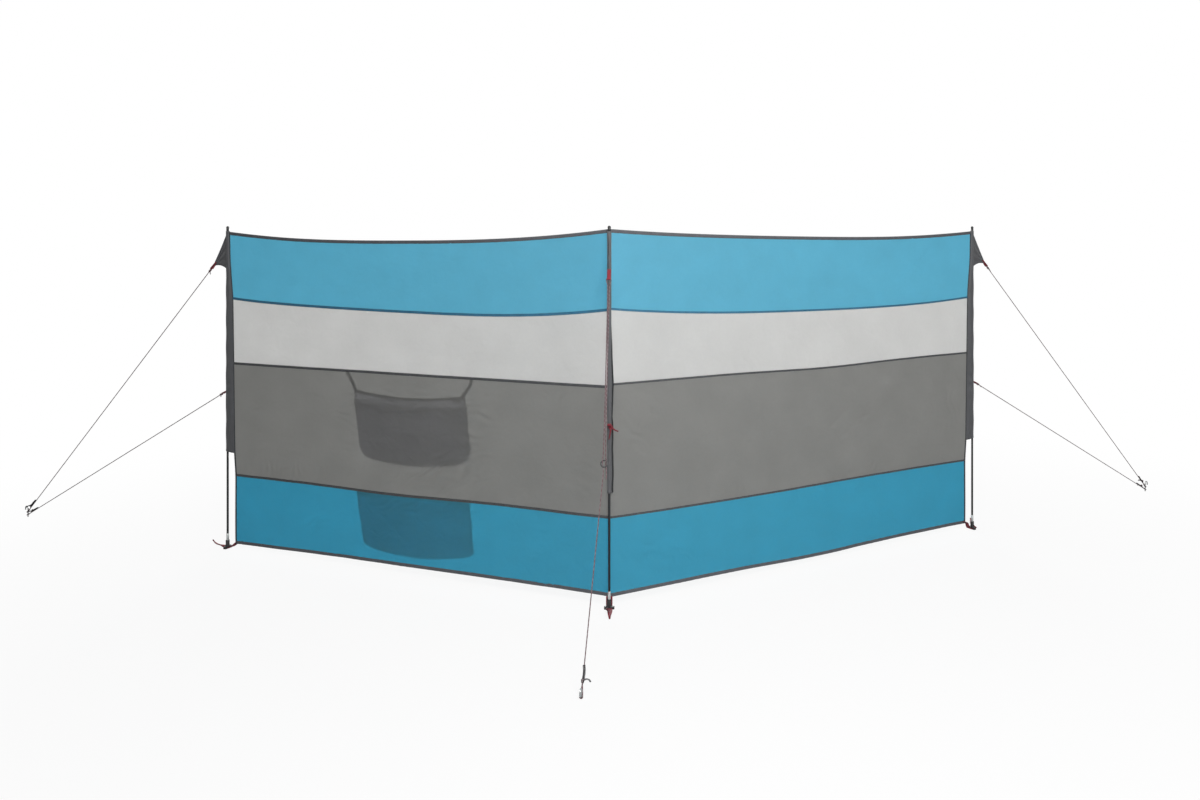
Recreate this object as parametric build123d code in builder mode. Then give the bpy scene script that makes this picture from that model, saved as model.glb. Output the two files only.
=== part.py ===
from build123d import *
from math import cos, radians, sin
import os

# Beach windbreak: a cloth of two bays, each sewn from four bands, on three upright rods.
# The rods stand in sleeves. The middle rod is on the windward side, where the cloth bends round it.
# Frame: millimetres, +Z up, origin on the ground under the middle rod.
# The windward side faces -Y and the sheltered side +Y. +X runs towards the right-hand bay.
# Each bay is drawn in its own upright plane: u runs along the bay from the fold to the end rod,
# and n points to windward. The left bay is the right bay's mirror image.

# ---- bays -------------------------------------------------------------------------------------
rod_top = 1465.0  # upper ends of the three rods, level with the cloth's top edge at the fold
bay_length = 1960.0  # from the fold to the axis of the end rod
half_fold_angle = 63.5  # degrees between a bay and the Y axis
cloth_thickness = 2.0  # the cloth, drawn thick enough to be a solid
binding_thickness = 3.0
binding_width = 12.0
end_binding_width = 8.0
seam_tape_width = 10.0
seam_tape_thickness = 0.8
seam_tape_end_gap = 0.5

# Every level line of the cloth: height at the fold, height at the end, and sag halfway.
top_line_fall = 12.0  # of the cloth's top edge, from the fold to the end rod
top_line_sag = 35.0
top_line = (rod_top, rod_top - top_line_fall, top_line_sag)
upper_seam = (1154.0, 1143.0, 34.0)
middle_seam = (859.0, 857.0, 7.0)
lower_seam = (350.0, 341.0, 6.0)
hem_line = (43.0, 30.0, 1.0)

# How far the cloth's end edge stays from the axis of the end rod.
edge_gap_top = 12.0
edge_gap_upper_seam = 30.0
edge_gap_hem = 44.0

# ---- poles ------------------------------------------------------------------------------------
rod_radius = 4.75
cap_radius = 6.5
cap_collar_radius = 6.0
cap_collar_depth = 8.0
cap_ball_rise = 6.0  # centre of the cap's ball above the end of the rod
ferrule_radius = 5.6
ferrule_height = 59.0
ferrule_fit = 0.1  # between the rod and the ferrule
foot_length = 17.0  # along the strap
foot_width = 40.0  # across the strap
foot_height = 11.0
foot_corner = 5.0
boss_radius = 8.5
boss_height = 37.0
ferrule_seat = 9.0  # height of the ferrule's end inside the foot
ferrule_seat_fit = 0.1

# ---- sleeves and gussets ----------------------------------------------------------------------
sleeve_wall = 1.4
sleeve_fit = 0.3
sleeve_foot = 446.0  # lower end of all three sleeves
sleeve_top_gap = 2.0  # from the middle sleeve to the top binding
sleeve_back = 9.0  # from the middle rod's axis to the cloth behind it
sleeve_web = 8.0  # width of the strip that sews the middle sleeve to the cloth
sleeve_seam_half = binding_thickness / 2
gusset_thickness = 2.0
gusset_top = rod_top - 29.0
gusset_tip_height = rod_top - 161.0
gusset_foot = rod_top - 183.0
gusset_reach = 76.0  # from the rod's axis to the corner that carries the guy
gusset_tip_depth = 12.0
gusset_hollow = 6.0  # rise of the curved lower edge

# ---- webbing ----------------------------------------------------------------------------------
webbing_thickness = 2.0
webbing_width = 25.0
loop_webbing_width = 14.0
loop_length = 34.0
loop_depth = 10.0
loop_wall = 1.6
loop_gap = 0.2  # between a loop and what it is sewn to
sleeve_loop_height = 720.0
sleeve_loop_length = 24.0
strap_slot_floor = 3.0  # height of the slot in the foot that the strap runs through
strap_slot_fit = 0.3  # at the sides
strap_slot_rise = 0.7  # over the strap
strap_lead = 18.0  # from the foot to where the strap lies on the ground
strap_hem_gap = 0.7  # under the hem, where the two bays meet
strap_bend_radius = 3.0
strap_reach = 112.0  # end of the peg loop, from the rod's axis
peg_eye_length = 34.0
peg_eye_height = 15.0

# ---- guys -------------------------------------------------------------------------------------
guy_radius = 1.8
guy_gap = 0.2  # between a guy and the loop that holds it
end_peg_distance = 1350.0  # from the end rod, in line with the bay
middle_peg = (-78.0, -732.0)
middle_ring = (-12.5, -415.0, 657.0)  # centre of the middle guy's tensioner ring
ring_radius = 11.5
ring_wire = 2.2
strand_gap_top = 8.0  # between the two strands above the ring, at the gusset
strand_gap_ring = 13.0
peg_wire = 2.6
end_peg_shaft = 44.0  # above ground
middle_peg_shaft = 24.0
peg_hook_radius = 9.0
peg_hook_drop = 10.0
peg_loop_radius = 8.0
upper_cord_height = 27.0  # of the guys' loops on the peg
lower_cord_height = 11.0
peg_loop_length = 32.0  # from the peg to the slider, along the guy
slider_gap = 2.0
slider_length = 52.0
slider_width = 8.0
slider_thickness = 4.0
slider_bow = 3.0
slider_arm_reach = 26.0
slider_arm_rise = 12.0
slider_arm_drop = 4.0
slider_arm_width = 4.6
slider_hole = 2.0
slider_hole_inset = 4.0  # from the slider's ends to the holes that the cord runs through

# ---- pockets on the sheltered side of the left bay ---------------------------------------------
pocket_wall = 2.0
pocket_depth = 50.0
pocket_start = 650.0  # from the fold to the near side
pocket_top_width = 558.0
pocket_bottom_width = 522.0
pocket_corner = 25.0
upper_pocket_top = 794.0
upper_pocket_height = 300.0
lower_pocket_height = 222.0
pocket_strap_lap = 40.0

# ---- bay geometry -----------------------------------------------------------------------------
fold_sin = sin(radians(half_fold_angle))
fold_cos = cos(radians(half_fold_angle))
along_bay = Vector(fold_sin, fold_cos, 0)
to_windward = Vector(fold_cos, -fold_sin, 0)
fold_y = sleeve_back + cloth_thickness / 2 / fold_sin
fold = Vector(0, fold_y, 0)
bay_plane = Plane(origin=fold, x_dir=along_bay, z_dir=to_windward)
right_rod = fold + along_bay * bay_length
left_rod = Vector(-right_rod.X, right_rod.Y, 0)
middle_rod = Vector(0, 0, 0)
rods = {"left": left_rod, "middle": middle_rod, "right": right_rod}
outward = {"left": Vector(-fold_sin, fold_cos, 0), "middle": Vector(0, -1, 0), "right": along_bay}
sleeve_bore = rod_radius + sleeve_fit
sleeve_radius = sleeve_bore + sleeve_wall
mitre_allowance = 2 * binding_thickness  # drawn past the fold, then cut off on the YZ plane

os.makedirs("parts", exist_ok=True)


def write(part, node):
    """Labels a finished piece and writes its file."""
    part.label = node
    export_step(part, f"parts/{node}.step")


def write_pair(part, name):
    """Writes a piece of the right bay, and its mirror image for the left bay."""
    write(part, f"right_{name}")
    write(mirror(part, about=Plane.YZ), f"left_{name}")


def edge_gap(height):
    """Distance of the cloth's end edge from the end rod's axis, at a height."""
    knee = upper_seam[1]
    if height > knee:
        share = (height - knee) / (top_line[1] - knee)
        return edge_gap_upper_seam + share * (edge_gap_top - edge_gap_upper_seam)
    share = (height - hem_line[1]) / (knee - hem_line[1])
    return edge_gap_hem + share * (edge_gap_upper_seam - edge_gap_hem)


def line_points(line, shift=0.0, start=-mitre_allowance, end_clear=0.0):
    """Start, middle and end of a level line's arc, in the bay plane."""
    fold_height, end_height, sag = line
    end_height += shift
    end = bay_length - edge_gap(end_height) - end_binding_width - end_clear
    middle = (fold_height + line[1]) / 2 + shift - sag
    return (start, fold_height + shift), ((start + end) / 2, middle), (end, end_height)


def strip(lower, upper, lower_shift=0.0, upper_shift=0.0, start=-mitre_allowance, end_clear=0.0):
    """Sketch of the cloth between two level lines, in the bay plane."""
    low = line_points(lower, lower_shift, start, end_clear)
    high = line_points(upper, upper_shift, start, end_clear)
    with BuildSketch(bay_plane) as outline:
        with BuildLine():
            ThreePointArc(*low)
            Line(low[2], high[2])
            ThreePointArc(high[2], high[1], high[0])
            Line(high[0], low[0])
        make_face()
    return outline.sketch


# ---- cloth bands, from the top down ------------------------------------------------------------
bands = {
    "top_band": (upper_seam, top_line, 0.0, -binding_width),
    "light_band": (middle_seam, upper_seam, 0.0, 0.0),
    "grey_band": (lower_seam, middle_seam, 0.0, 0.0),
    "bottom_band": (hem_line, lower_seam, binding_width, 0.0),
}
for name, (lower, upper, lower_shift, upper_shift) in bands.items():
    with BuildPart() as band:
        extrude(strip(lower, upper, lower_shift, upper_shift), cloth_thickness / 2, both=True)
        split(bisect_by=Plane.YZ, keep=Keep.TOP)
    write_pair(band.part, name)

# ---- bindings along the top, the hem and the ends ------------------------------------------------
with BuildPart() as top_binding:
    extrude(strip(top_line, top_line, -binding_width, 0.0), binding_thickness / 2, both=True)
    split(bisect_by=Plane.YZ, keep=Keep.TOP)
write_pair(top_binding.part, "top_binding")

with BuildPart() as bottom_binding:
    extrude(strip(hem_line, hem_line, 0.0, binding_width), binding_thickness / 2, both=True)
    split(bisect_by=Plane.YZ, keep=Keep.TOP)
write_pair(bottom_binding.part, "bottom_binding")


def end_edge(height, inset=0.0):
    """Point of the cloth's end edge at a height, in the bay plane."""
    return (bay_length - edge_gap(height) - inset, height)


with BuildPart() as end_binding:
    with BuildSketch(bay_plane):
        heights = (hem_line[1], upper_seam[1], top_line[1])
        outer = [end_edge(height) for height in heights]
        inner = [end_edge(height, end_binding_width) for height in heights]
        with BuildLine():
            Polyline(*outer, *reversed(inner), close=True)
        make_face()
    extrude(amount=binding_thickness / 2, both=True)
write_pair(end_binding.part, "end_binding")

# ---- seam tapes on the windward face -------------------------------------------------------------
tape_start = sleeve_web / fold_sin
with BuildPart() as seam_tapes:
    for seam in (upper_seam, middle_seam, lower_seam):
        half_tape = seam_tape_width / 2
        tape = strip(seam, seam, -half_tape, half_tape, tape_start, seam_tape_end_gap)
        extrude(tape.moved(Location(to_windward * cloth_thickness / 2)), seam_tape_thickness)
write_pair(seam_tapes.part, "seam_tapes")

# ---- sleeves -------------------------------------------------------------------------------------
with BuildPart() as middle_pole_sleeve:
    with BuildSketch(Plane.XY.offset(sleeve_foot)):
        Circle(sleeve_radius)
        half_web = sleeve_web / 2
        corner_y = sleeve_back + half_web * fold_cos / fold_sin
        with BuildLine():
            Polyline(
                (-half_web, 0),
                (half_web, 0),
                (half_web, corner_y),
                (0, sleeve_back),
                (-half_web, corner_y),
                close=True,
            )
        make_face()
        Circle(sleeve_bore, mode=Mode.SUBTRACT)
    extrude(amount=top_line[0] - binding_width - sleeve_top_gap - sleeve_foot)
write(middle_pole_sleeve.part, "middle_pole_sleeve")

with BuildPart() as end_sleeve:
    for height in (sleeve_foot, upper_seam[1], top_line[1]):
        tip = bay_length - edge_gap(height)
        with BuildSketch(Plane(origin=fold + Vector(0, 0, height), x_dir=along_bay, z_dir=(0, 0, 1))):
            with BuildLine():
                Polyline(
                    (bay_length, -sleeve_radius),
                    (tip, -sleeve_seam_half),
                    (tip, sleeve_seam_half),
                    (bay_length, sleeve_radius),
                )
                ThreePointArc(
                    (bay_length, sleeve_radius),
                    (bay_length + sleeve_radius, 0),
                    (bay_length, -sleeve_radius),
                )
            make_face()
    loft(ruled=True)
    with BuildSketch(Plane(origin=right_rod + Vector(0, 0, sleeve_foot))):
        Circle(sleeve_bore)
    extrude(amount=top_line[1] - sleeve_foot, mode=Mode.SUBTRACT)
write_pair(end_sleeve.part, "pole_sleeve")

# ---- poles, caps, ferrules and feet ----------------------------------------------------------------
for side, rod_place in rods.items():
    with BuildPart() as pole:
        with BuildSketch(Plane(origin=rod_place + Vector(0, 0, ferrule_seat))):
            Circle(rod_radius)
        extrude(amount=rod_top - ferrule_seat)
    write(pole.part, f"{side}_pole")

with BuildPart() as pole_caps:
    for rod_place in rods.values():
        with BuildSketch(Plane(origin=rod_place + Vector(0, 0, rod_top - cap_collar_depth))):
            Circle(cap_collar_radius)
        extrude(amount=cap_collar_depth + cap_ball_rise / 2)
        with Locations(rod_place + Vector(0, 0, rod_top + cap_ball_rise)):
            Sphere(cap_radius)
        with BuildSketch(Plane(origin=rod_place + Vector(0, 0, rod_top - cap_collar_depth))):
            Circle(rod_radius)
        extrude(amount=cap_collar_depth, mode=Mode.SUBTRACT)
write(pole_caps.part, "pole_caps")

with BuildPart() as pole_ferrules:
    for rod_place in rods.values():
        with BuildSketch(Plane(origin=rod_place + Vector(0, 0, ferrule_seat))):
            Circle(ferrule_radius)
            Circle(rod_radius + ferrule_fit, mode=Mode.SUBTRACT)
        extrude(amount=ferrule_height)
write(pole_ferrules.part, "pole_ferrules")

slot_height = webbing_thickness + strap_slot_rise
slot_cut = 2 * foot_length  # runs out past both sides of the foot
with BuildPart() as pole_feet:
    for side, rod_place in rods.items():
        ground = Plane(origin=rod_place, x_dir=outward[side], z_dir=(0, 0, 1))
        with BuildPart(ground, mode=Mode.PRIVATE) as foot:
            with BuildSketch(ground):
                RectangleRounded(foot_length, foot_width, foot_corner)
            extrude(amount=foot_height)
            chamfer(foot.faces().sort_by(Axis.Z)[-1].edges(), foot_corner / 2)
            with BuildSketch(ground):
                Circle(boss_radius)
            extrude(amount=boss_height)
            with BuildSketch(ground.offset(ferrule_seat)):
                Circle(ferrule_radius + ferrule_seat_fit)
            extrude(amount=boss_height, mode=Mode.SUBTRACT)
            with BuildSketch(ground.offset(strap_slot_floor)):
                Rectangle(slot_cut, webbing_width + 2 * strap_slot_fit)
            extrude(amount=slot_height, mode=Mode.SUBTRACT)
        add(foot.part)
write(pole_feet.part, "pole_feet")

# ---- foot straps: from the hem, through the foot, to a loop for a ground peg ------------------------
half_strap = webbing_thickness / 2
half_foot = foot_length / 2
strap_run = strap_slot_floor + half_strap
eye_middle = strap_reach - peg_eye_length / 2
end_entry = half_foot + half_strap
strap_entry = {"left": end_entry, "middle": fold_y, "right": end_entry}
for side, rod_place in rods.items():
    if side == "middle":
        hem_point = (-fold_y, hem_line[0] - strap_hem_gap)
    else:
        hem_point = (-edge_gap_hem - webbing_width / 2, hem_line[1] - half_strap)
    across = outward[side].cross(Vector(0, 0, 1))
    with BuildPart() as foot_strap:
        with BuildSketch(Plane(origin=rod_place, x_dir=outward[side], z_dir=across)):
            with BuildLine():
                FilletPolyline(
                    hem_point,
                    (-strap_entry[side], strap_run),
                    (half_foot + half_strap, strap_run),
                    (half_foot + strap_lead, half_strap),
                    (eye_middle, half_strap),
                    radius=strap_bend_radius,
                )
            trace(line_width=webbing_thickness)
            with Locations((eye_middle, peg_eye_height / 2)):
                SlotOverall(peg_eye_length, peg_eye_height)
                SlotOverall(
                    peg_eye_length - 2 * webbing_thickness,
                    peg_eye_height - 2 * webbing_thickness,
                    mode=Mode.SUBTRACT,
                )
        extrude(amount=webbing_width / 2, both=True)
    write(foot_strap.part, f"{side}_foot_strap")

# ---- gussets: cloth triangles that carry the upper guys away from the rods ---------------------------
pegs = {
    "left": left_rod + outward["left"] * end_peg_distance,
    "middle": Vector(*middle_peg, 0),
    "right": right_rod + outward["right"] * end_peg_distance,
}
upper_peg_points = {side: peg + Vector(0, 0, upper_cord_height) for side, peg in pegs.items()}
lower_peg_points = {side: pegs[side] + Vector(0, 0, lower_cord_height) for side in ("left", "right")}
middle_ring_point = Vector(*middle_ring)
upper_aims = dict(upper_peg_points, middle=middle_ring_point)


def toward(start, end):
    """Unit vector from one point to another."""
    return (end - start).normalized()


def level_share(direction):
    """Cosine of a direction's slope."""
    return (direction.X**2 + direction.Y**2) ** 0.5


gusset_tips = {}
for side, rod_place in rods.items():
    across = outward[side].cross(Vector(0, 0, 1))
    tip = rod_place + outward[side] * gusset_reach + Vector(0, 0, gusset_tip_height)
    gusset_tips[side] = tip
    guy_pull = toward(tip, upper_aims[side])
    half_tip = gusset_tip_depth / 2
    tip_rise = level_share(guy_pull) * half_tip
    tip_lean = -guy_pull.Z * half_tip
    tip_low = (gusset_reach - tip_lean, gusset_tip_height - tip_rise)
    tip_high = (gusset_reach + tip_lean, gusset_tip_height + tip_rise)
    foot_point = (sleeve_radius, gusset_foot)
    hollow_middle = (
        (tip_low[0] + sleeve_radius) / 2,
        (tip_low[1] + gusset_foot) / 2 + gusset_hollow,
    )
    with BuildPart() as gusset:
        with BuildSketch(Plane(origin=rod_place, x_dir=outward[side], z_dir=across)):
            with BuildLine():
                ThreePointArc(foot_point, hollow_middle, tip_low)
                Polyline(tip_low, tip_high, (sleeve_radius, gusset_top), foot_point)
            make_face()
        extrude(amount=gusset_thickness / 2, both=True)
    write(gusset.part, f"{side}_gusset")

# ---- webbing loops at the gussets' tips and halfway down the sleeves ----------------------------------


def loop_outline(place, direction, length):
    """Sketch of a flat loop of webbing that starts at a place and runs in a direction."""
    across = direction.cross(Vector(0, 0, 1)).normalized()
    with BuildSketch(Plane(origin=place, x_dir=direction, z_dir=across)) as outline:
        with Locations((length / 2, 0)):
            SlotOverall(length, loop_depth)
            SlotOverall(length - 2 * loop_wall, loop_depth - 2 * loop_wall, mode=Mode.SUBTRACT)
    return outline.sketch


upper_starts = {}
with BuildPart() as gusset_loops:
    for side, tip in gusset_tips.items():
        direction = toward(tip, upper_aims[side])
        start = tip + direction * loop_gap
        upper_starts[side] = start + direction * (loop_length + guy_gap)
        extrude(loop_outline(start, direction, loop_length), loop_webbing_width / 2, both=True)
write(gusset_loops.part, "gusset_loops")

lower_starts = {}
with BuildPart() as sleeve_loops:
    for side, rod_place in rods.items():
        start = rod_place + outward[side] * (sleeve_radius + loop_gap) + Vector(0, 0, sleeve_loop_height)
        direction = outward[side]
        if side in lower_peg_points:
            direction = toward(start, lower_peg_points[side])
            start += direction * (loop_depth / 2) * (1 / level_share(direction) - 1)
            lower_starts[side] = start + direction * (sleeve_loop_length + guy_gap)
        extrude(loop_outline(start, direction, sleeve_loop_length), loop_webbing_width / 2, both=True)
write(sleeve_loops.part, "sleeve_loops")

# ---- guys: one taut cord each, ending in a loop round its ground peg -----------------------------------
ring_shadow = Vector(middle_ring_point.X, middle_ring_point.Y, 0)
peg_outward = dict(outward, middle=toward(ring_shadow, pegs["middle"]))
middle_peg_point = pegs["middle"] + Vector(0, 0, lower_cord_height)
ring_reach = ring_radius + ring_wire + guy_gap
below_ring = middle_ring_point + toward(middle_ring_point, middle_peg_point) * ring_reach
guys = {
    "left_upper_guy": (upper_starts["left"], upper_peg_points["left"]),
    "left_lower_guy": (lower_starts["left"], lower_peg_points["left"]),
    "right_upper_guy": (upper_starts["right"], upper_peg_points["right"]),
    "right_lower_guy": (lower_starts["right"], lower_peg_points["right"]),
    "middle_guy": (below_ring, middle_peg_point),
}
strand_along = toward(upper_starts["middle"], middle_ring_point)
strand_across = strand_along.cross(Vector(0, 0, 1)).normalized()
strand_inner_side = strand_gap_ring / 2 - guy_radius
rim_height = ((ring_radius + ring_wire) ** 2 - strand_inner_side**2) ** 0.5
above_ring = middle_ring_point - strand_along * (rim_height + guy_gap)
slider_planes = []
for node, (start, peg_point) in guys.items():
    along = toward(start, peg_point)
    across = along.cross(Vector(0, 0, 1)).normalized()
    upward = across.cross(along)
    wrap = (peg_wire + guy_radius + guy_gap) / level_share(along)
    loop_top = peg_point - along * peg_loop_length
    reach = peg_loop_length + wrap - peg_loop_radius
    side_share = peg_loop_radius / reach
    touch = reach * (1 - side_share**2)
    spread = peg_loop_radius * (1 - side_share**2) ** 0.5
    with BuildPart() as guy:
        with BuildSketch(Plane(origin=start, z_dir=along)):
            Circle(guy_radius)
        extrude(amount=(loop_top - start).length)
        with BuildLine(Plane(origin=loop_top, x_dir=along, z_dir=upward)) as loop_path:
            Line((0, 0), (touch, spread))
            ThreePointArc((touch, spread), (reach + peg_loop_radius, 0), (touch, -spread))
            Line((touch, -spread), (0, 0))
        with BuildSketch(Plane(origin=loop_top, z_dir=loop_path.line.edges()[0] % 0)):
            Circle(guy_radius)
        sweep(path=loop_path.line)
        with Locations(loop_top):
            Sphere(guy_radius)
        if node == "middle_guy":
            for turn in (-0.5, 0.5):
                strand_start = upper_starts["middle"] + strand_across * turn * strand_gap_top
                strand_end = above_ring + strand_across * turn * strand_gap_ring
                with BuildSketch(Plane(origin=strand_start, z_dir=toward(strand_start, strand_end))):
                    Circle(guy_radius)
                extrude(amount=(strand_end - strand_start).length)
    write(guy.part, node)
    slider_origin = loop_top - along * slider_gap + upward * (guy_radius + guy_gap)
    slider_planes.append(Plane(origin=slider_origin, x_dir=along * -1, z_dir=upward))

# ---- guy hardware ---------------------------------------------------------------------------------------
with BuildPart() as guy_sliders:
    for slider_plane in slider_planes:
        with BuildSketch(slider_plane) as slider_outline:
            with BuildLine():
                ThreePointArc((0, 0), (slider_length / 2, -slider_bow), (slider_length, 0))
            trace(line_width=slider_width)
            arm_middle = (slider_arm_rise, -slider_arm_reach / 2)
            with BuildLine():
                ThreePointArc((0, 0), arm_middle, (slider_arm_drop, -slider_arm_reach))
            trace(line_width=slider_arm_width)
            with Locations((slider_hole_inset, 0), (slider_length - slider_hole_inset, 0)):
                Circle(slider_hole, mode=Mode.SUBTRACT)
        extrude(slider_outline.sketch, slider_thickness)
write(guy_sliders.part, "guy_sliders")

ring_along = toward(upper_starts["middle"], middle_ring_point)
ring_plane = Plane(origin=middle_ring_point, x_dir=ring_along, z_dir=ring_along.cross(Vector(1, 0, 0)))
with BuildPart() as guy_ring:
    with Locations(ring_plane):
        Torus(ring_radius, ring_wire)
write(guy_ring.part, "guy_ring")

with BuildPart() as guy_pegs:
    for side, peg in pegs.items():
        peg_plane = Plane(origin=peg, x_dir=peg_outward[side], z_dir=peg_outward[side].cross(Vector(0, 0, 1)))
        shaft_height = middle_peg_shaft if side == "middle" else end_peg_shaft
        shaft_top = (0, shaft_height)
        hook_top = (peg_hook_radius, shaft_height + peg_hook_radius)
        hook_side = (2 * peg_hook_radius, shaft_height)
        hook_end = (2 * peg_hook_radius, shaft_height - peg_hook_drop)
        with BuildLine(peg_plane) as peg_path:
            Line((0, 0), shaft_top)
            ThreePointArc(shaft_top, hook_top, hook_side)
            Line(hook_side, hook_end)
        with BuildSketch(Plane(origin=peg)) as peg_section:
            Circle(peg_wire)
        sweep(sections=peg_section.sketch, path=peg_path.line)
write(guy_pegs.part, "guy_pegs")

# ---- pockets on the sheltered face of the left bay -------------------------------------------------------
left_bay_plane = Plane(origin=fold, x_dir=Vector(-fold_sin, fold_cos, 0), z_dir=Vector(fold_cos, fold_sin, 0))
narrowing = (pocket_top_width - pocket_bottom_width) / 2


def pocket_outline(top, height, inset=0.0, extra_top=0.0):
    """Sketch of a pocket seen square on, drawn in from its edge by an inset."""
    left = pocket_start + inset
    right = pocket_start + pocket_top_width - inset
    low = top - height + inset
    with BuildSketch(left_bay_plane) as outline:
        with BuildLine():
            Polyline(
                (left + narrowing, low),
                (right - narrowing, low),
                (right, top + extra_top),
                (left, top + extra_top),
                close=True,
            )
        make_face()
        fillet(outline.vertices().group_by(Axis.Z)[0], pocket_corner - inset)
    return outline.sketch


# Each pocket: height of its mouth, its own height, and its back panel's distance from the middle
# of the cloth. A pocket is two panels with a gusset strip between them, open at the top.
lower_pocket_top = lower_seam[1] - seam_tape_width / 2
pockets = (
    (upper_pocket_top, upper_pocket_height, cloth_thickness / 2 + webbing_thickness),
    (lower_pocket_top, lower_pocket_height, cloth_thickness / 2),
)
into_shelter = left_bay_plane.z_dir
gusset_width = pocket_depth - 2 * pocket_wall
with BuildPart() as pocket_panels:
    for top, height, back in pockets:
        for panel_back in (back, back + pocket_wall + gusset_width):
            panel = pocket_outline(top, height).moved(Location(into_shelter * panel_back))
            extrude(panel, pocket_wall)
write(pocket_panels.part, "pocket_panels")

with BuildPart() as pocket_gussets:
    for top, height, back in pockets:
        between = Location(into_shelter * (back + pocket_wall))
        extrude(pocket_outline(top, height).moved(between), gusset_width)
        hollow = pocket_outline(top, height, pocket_wall, pocket_wall)
        extrude(hollow.moved(between), gusset_width, mode=Mode.SUBTRACT)
write(pocket_gussets.part, "pocket_gussets")

with BuildPart() as pocket_straps:
    strap_low = upper_pocket_top - pocket_strap_lap
    strap_high = middle_seam[1] + seam_tape_width / 2
    for strap_middle in (
        pocket_start + webbing_width / 2,
        pocket_start + pocket_top_width - webbing_width / 2,
    ):
        with BuildSketch(left_bay_plane.offset(cloth_thickness / 2)):
            with Locations((strap_middle, (strap_low + strap_high) / 2)):
                Rectangle(webbing_width, strap_high - strap_low)
        extrude(amount=webbing_thickness)
write(pocket_straps.part, "pocket_straps")
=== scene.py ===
"""A pitched beach windbreak: two banded cloth bays in a V on three upright rods, with its guys."""
import math

import bpy
import numpy as np
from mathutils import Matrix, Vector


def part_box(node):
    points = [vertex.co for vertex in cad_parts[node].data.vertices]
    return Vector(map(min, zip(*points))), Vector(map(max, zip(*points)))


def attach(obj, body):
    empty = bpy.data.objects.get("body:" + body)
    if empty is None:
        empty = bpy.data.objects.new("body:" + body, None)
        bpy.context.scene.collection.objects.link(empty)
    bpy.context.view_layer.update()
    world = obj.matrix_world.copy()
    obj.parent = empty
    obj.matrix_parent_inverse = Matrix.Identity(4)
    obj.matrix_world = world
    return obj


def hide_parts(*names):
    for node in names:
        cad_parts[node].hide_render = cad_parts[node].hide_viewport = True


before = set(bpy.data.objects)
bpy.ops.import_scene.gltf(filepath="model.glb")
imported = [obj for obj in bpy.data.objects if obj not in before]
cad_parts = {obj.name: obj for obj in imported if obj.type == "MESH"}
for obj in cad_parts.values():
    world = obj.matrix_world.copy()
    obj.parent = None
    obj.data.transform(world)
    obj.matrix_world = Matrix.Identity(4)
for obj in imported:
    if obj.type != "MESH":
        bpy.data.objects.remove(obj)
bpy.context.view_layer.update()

# ---- Camera ----------------------------------------------------------------------------------------
# It stands in front of the fold at the height of the rods' tops, a little to the right, and looks
# level, so that the upright rods stay upright. The frame is shifted down and left to take in the guy.
eye = (0.045, -3.873, 1.466)
turned_right = math.atan2(0.0835, 0.9965)


def add_object(name, data):
    """A new object in the scene."""
    added = bpy.data.objects.new(name, data)
    bpy.context.scene.collection.objects.link(added)
    return added


camera = add_object("camera", bpy.data.cameras.new("camera"))
camera.location = eye
camera.rotation_euler = (math.pi / 2, 0, -turned_right)
camera.data.lens = 30
camera.data.sensor_width = 36
camera.data.shift_x = -0.0873
camera.data.shift_y = -0.1428
bpy.context.scene.camera = camera
bpy.context.scene.view_settings.view_transform = "Standard"

# ---- Studio ----------------------------------------------------------------------------------------
# A pale floor under a little light from all round, with one large soft lamp in front, a weaker one to
# the right and a strong one behind, so that most of the light on the cloth comes through it.


def linear(colour):
    """Linear red, green, blue and alpha of an sRGB hex colour."""
    channels = [int(colour[i : i + 2], 16) / 255 for i in (0, 2, 4)]
    return [c / 12.92 if c <= 0.04045 else ((c + 0.055) / 1.055) ** 2.4 for c in channels] + [1.0]


def add_node(tree, kind, inputs=None, **settings):
    """Adds a node. An input takes a value, another node's first output, or one of its sockets."""
    node = tree.nodes.new(kind)
    for name, value in settings.items():
        setattr(node, name, value)
    for socket, value in (inputs or {}).items():
        if isinstance(value, bpy.types.Node):
            value = value.outputs[0]
        if isinstance(value, bpy.types.NodeSocket):
            tree.links.new(value, node.inputs[socket])
        else:
            node.inputs[socket].default_value = value
    return node


def new_material(name):
    """A material and its empty node tree."""
    material = bpy.data.materials.new(name)
    material.use_nodes = True
    material.node_tree.nodes.clear()
    return material, material.node_tree


def make_object(name, points, faces, material, uv=None, corner_uv=None):
    """A smooth mesh object. Its place on the cloth is given by point or by face corner."""
    mesh = bpy.data.meshes.new(name)
    mesh.from_pydata([tuple(p) for p in points], [], [tuple(int(i) for i in f) for f in faces])
    if uv is not None:
        corner_uv = np.asarray(uv)[np.concatenate([np.asarray(f) for f in faces])]
    if corner_uv is not None:
        layer = mesh.uv_layers.new(name="cloth")
        layer.uv.foreach_set("vector", corner_uv.astype(np.float32).ravel())
    mesh.shade_smooth()
    mesh.materials.append(material)
    return add_object(name, mesh)


def lamp(name, place, aim, size, power):
    """A square soft lamp that shines from a place towards another."""
    light = add_object(name, bpy.data.lights.new(name, "AREA"))
    light.data.size = size
    light.data.energy = power
    light.location = place
    direction = [a - p for a, p in zip(aim, place)]
    yaw = math.atan2(direction[1], direction[0]) - math.pi / 2
    pitch = math.atan2(math.hypot(*direction[:2]), -direction[2])
    light.rotation_euler = (pitch, 0, yaw)


lamp("key_lamp", (0.4, -2.6, 2.8), (0.2, 0.3, 0.7), size=1.6, power=138)
lamp("side_lamp", (3.4, -2.4, 2.0), (0.5, 0.3, 0.7), size=1.6, power=24)
lamp("back_lamp", (0.0, 6.5, 0.9), (0, 0.5, 0.7), size=2.4, power=430)

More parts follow.
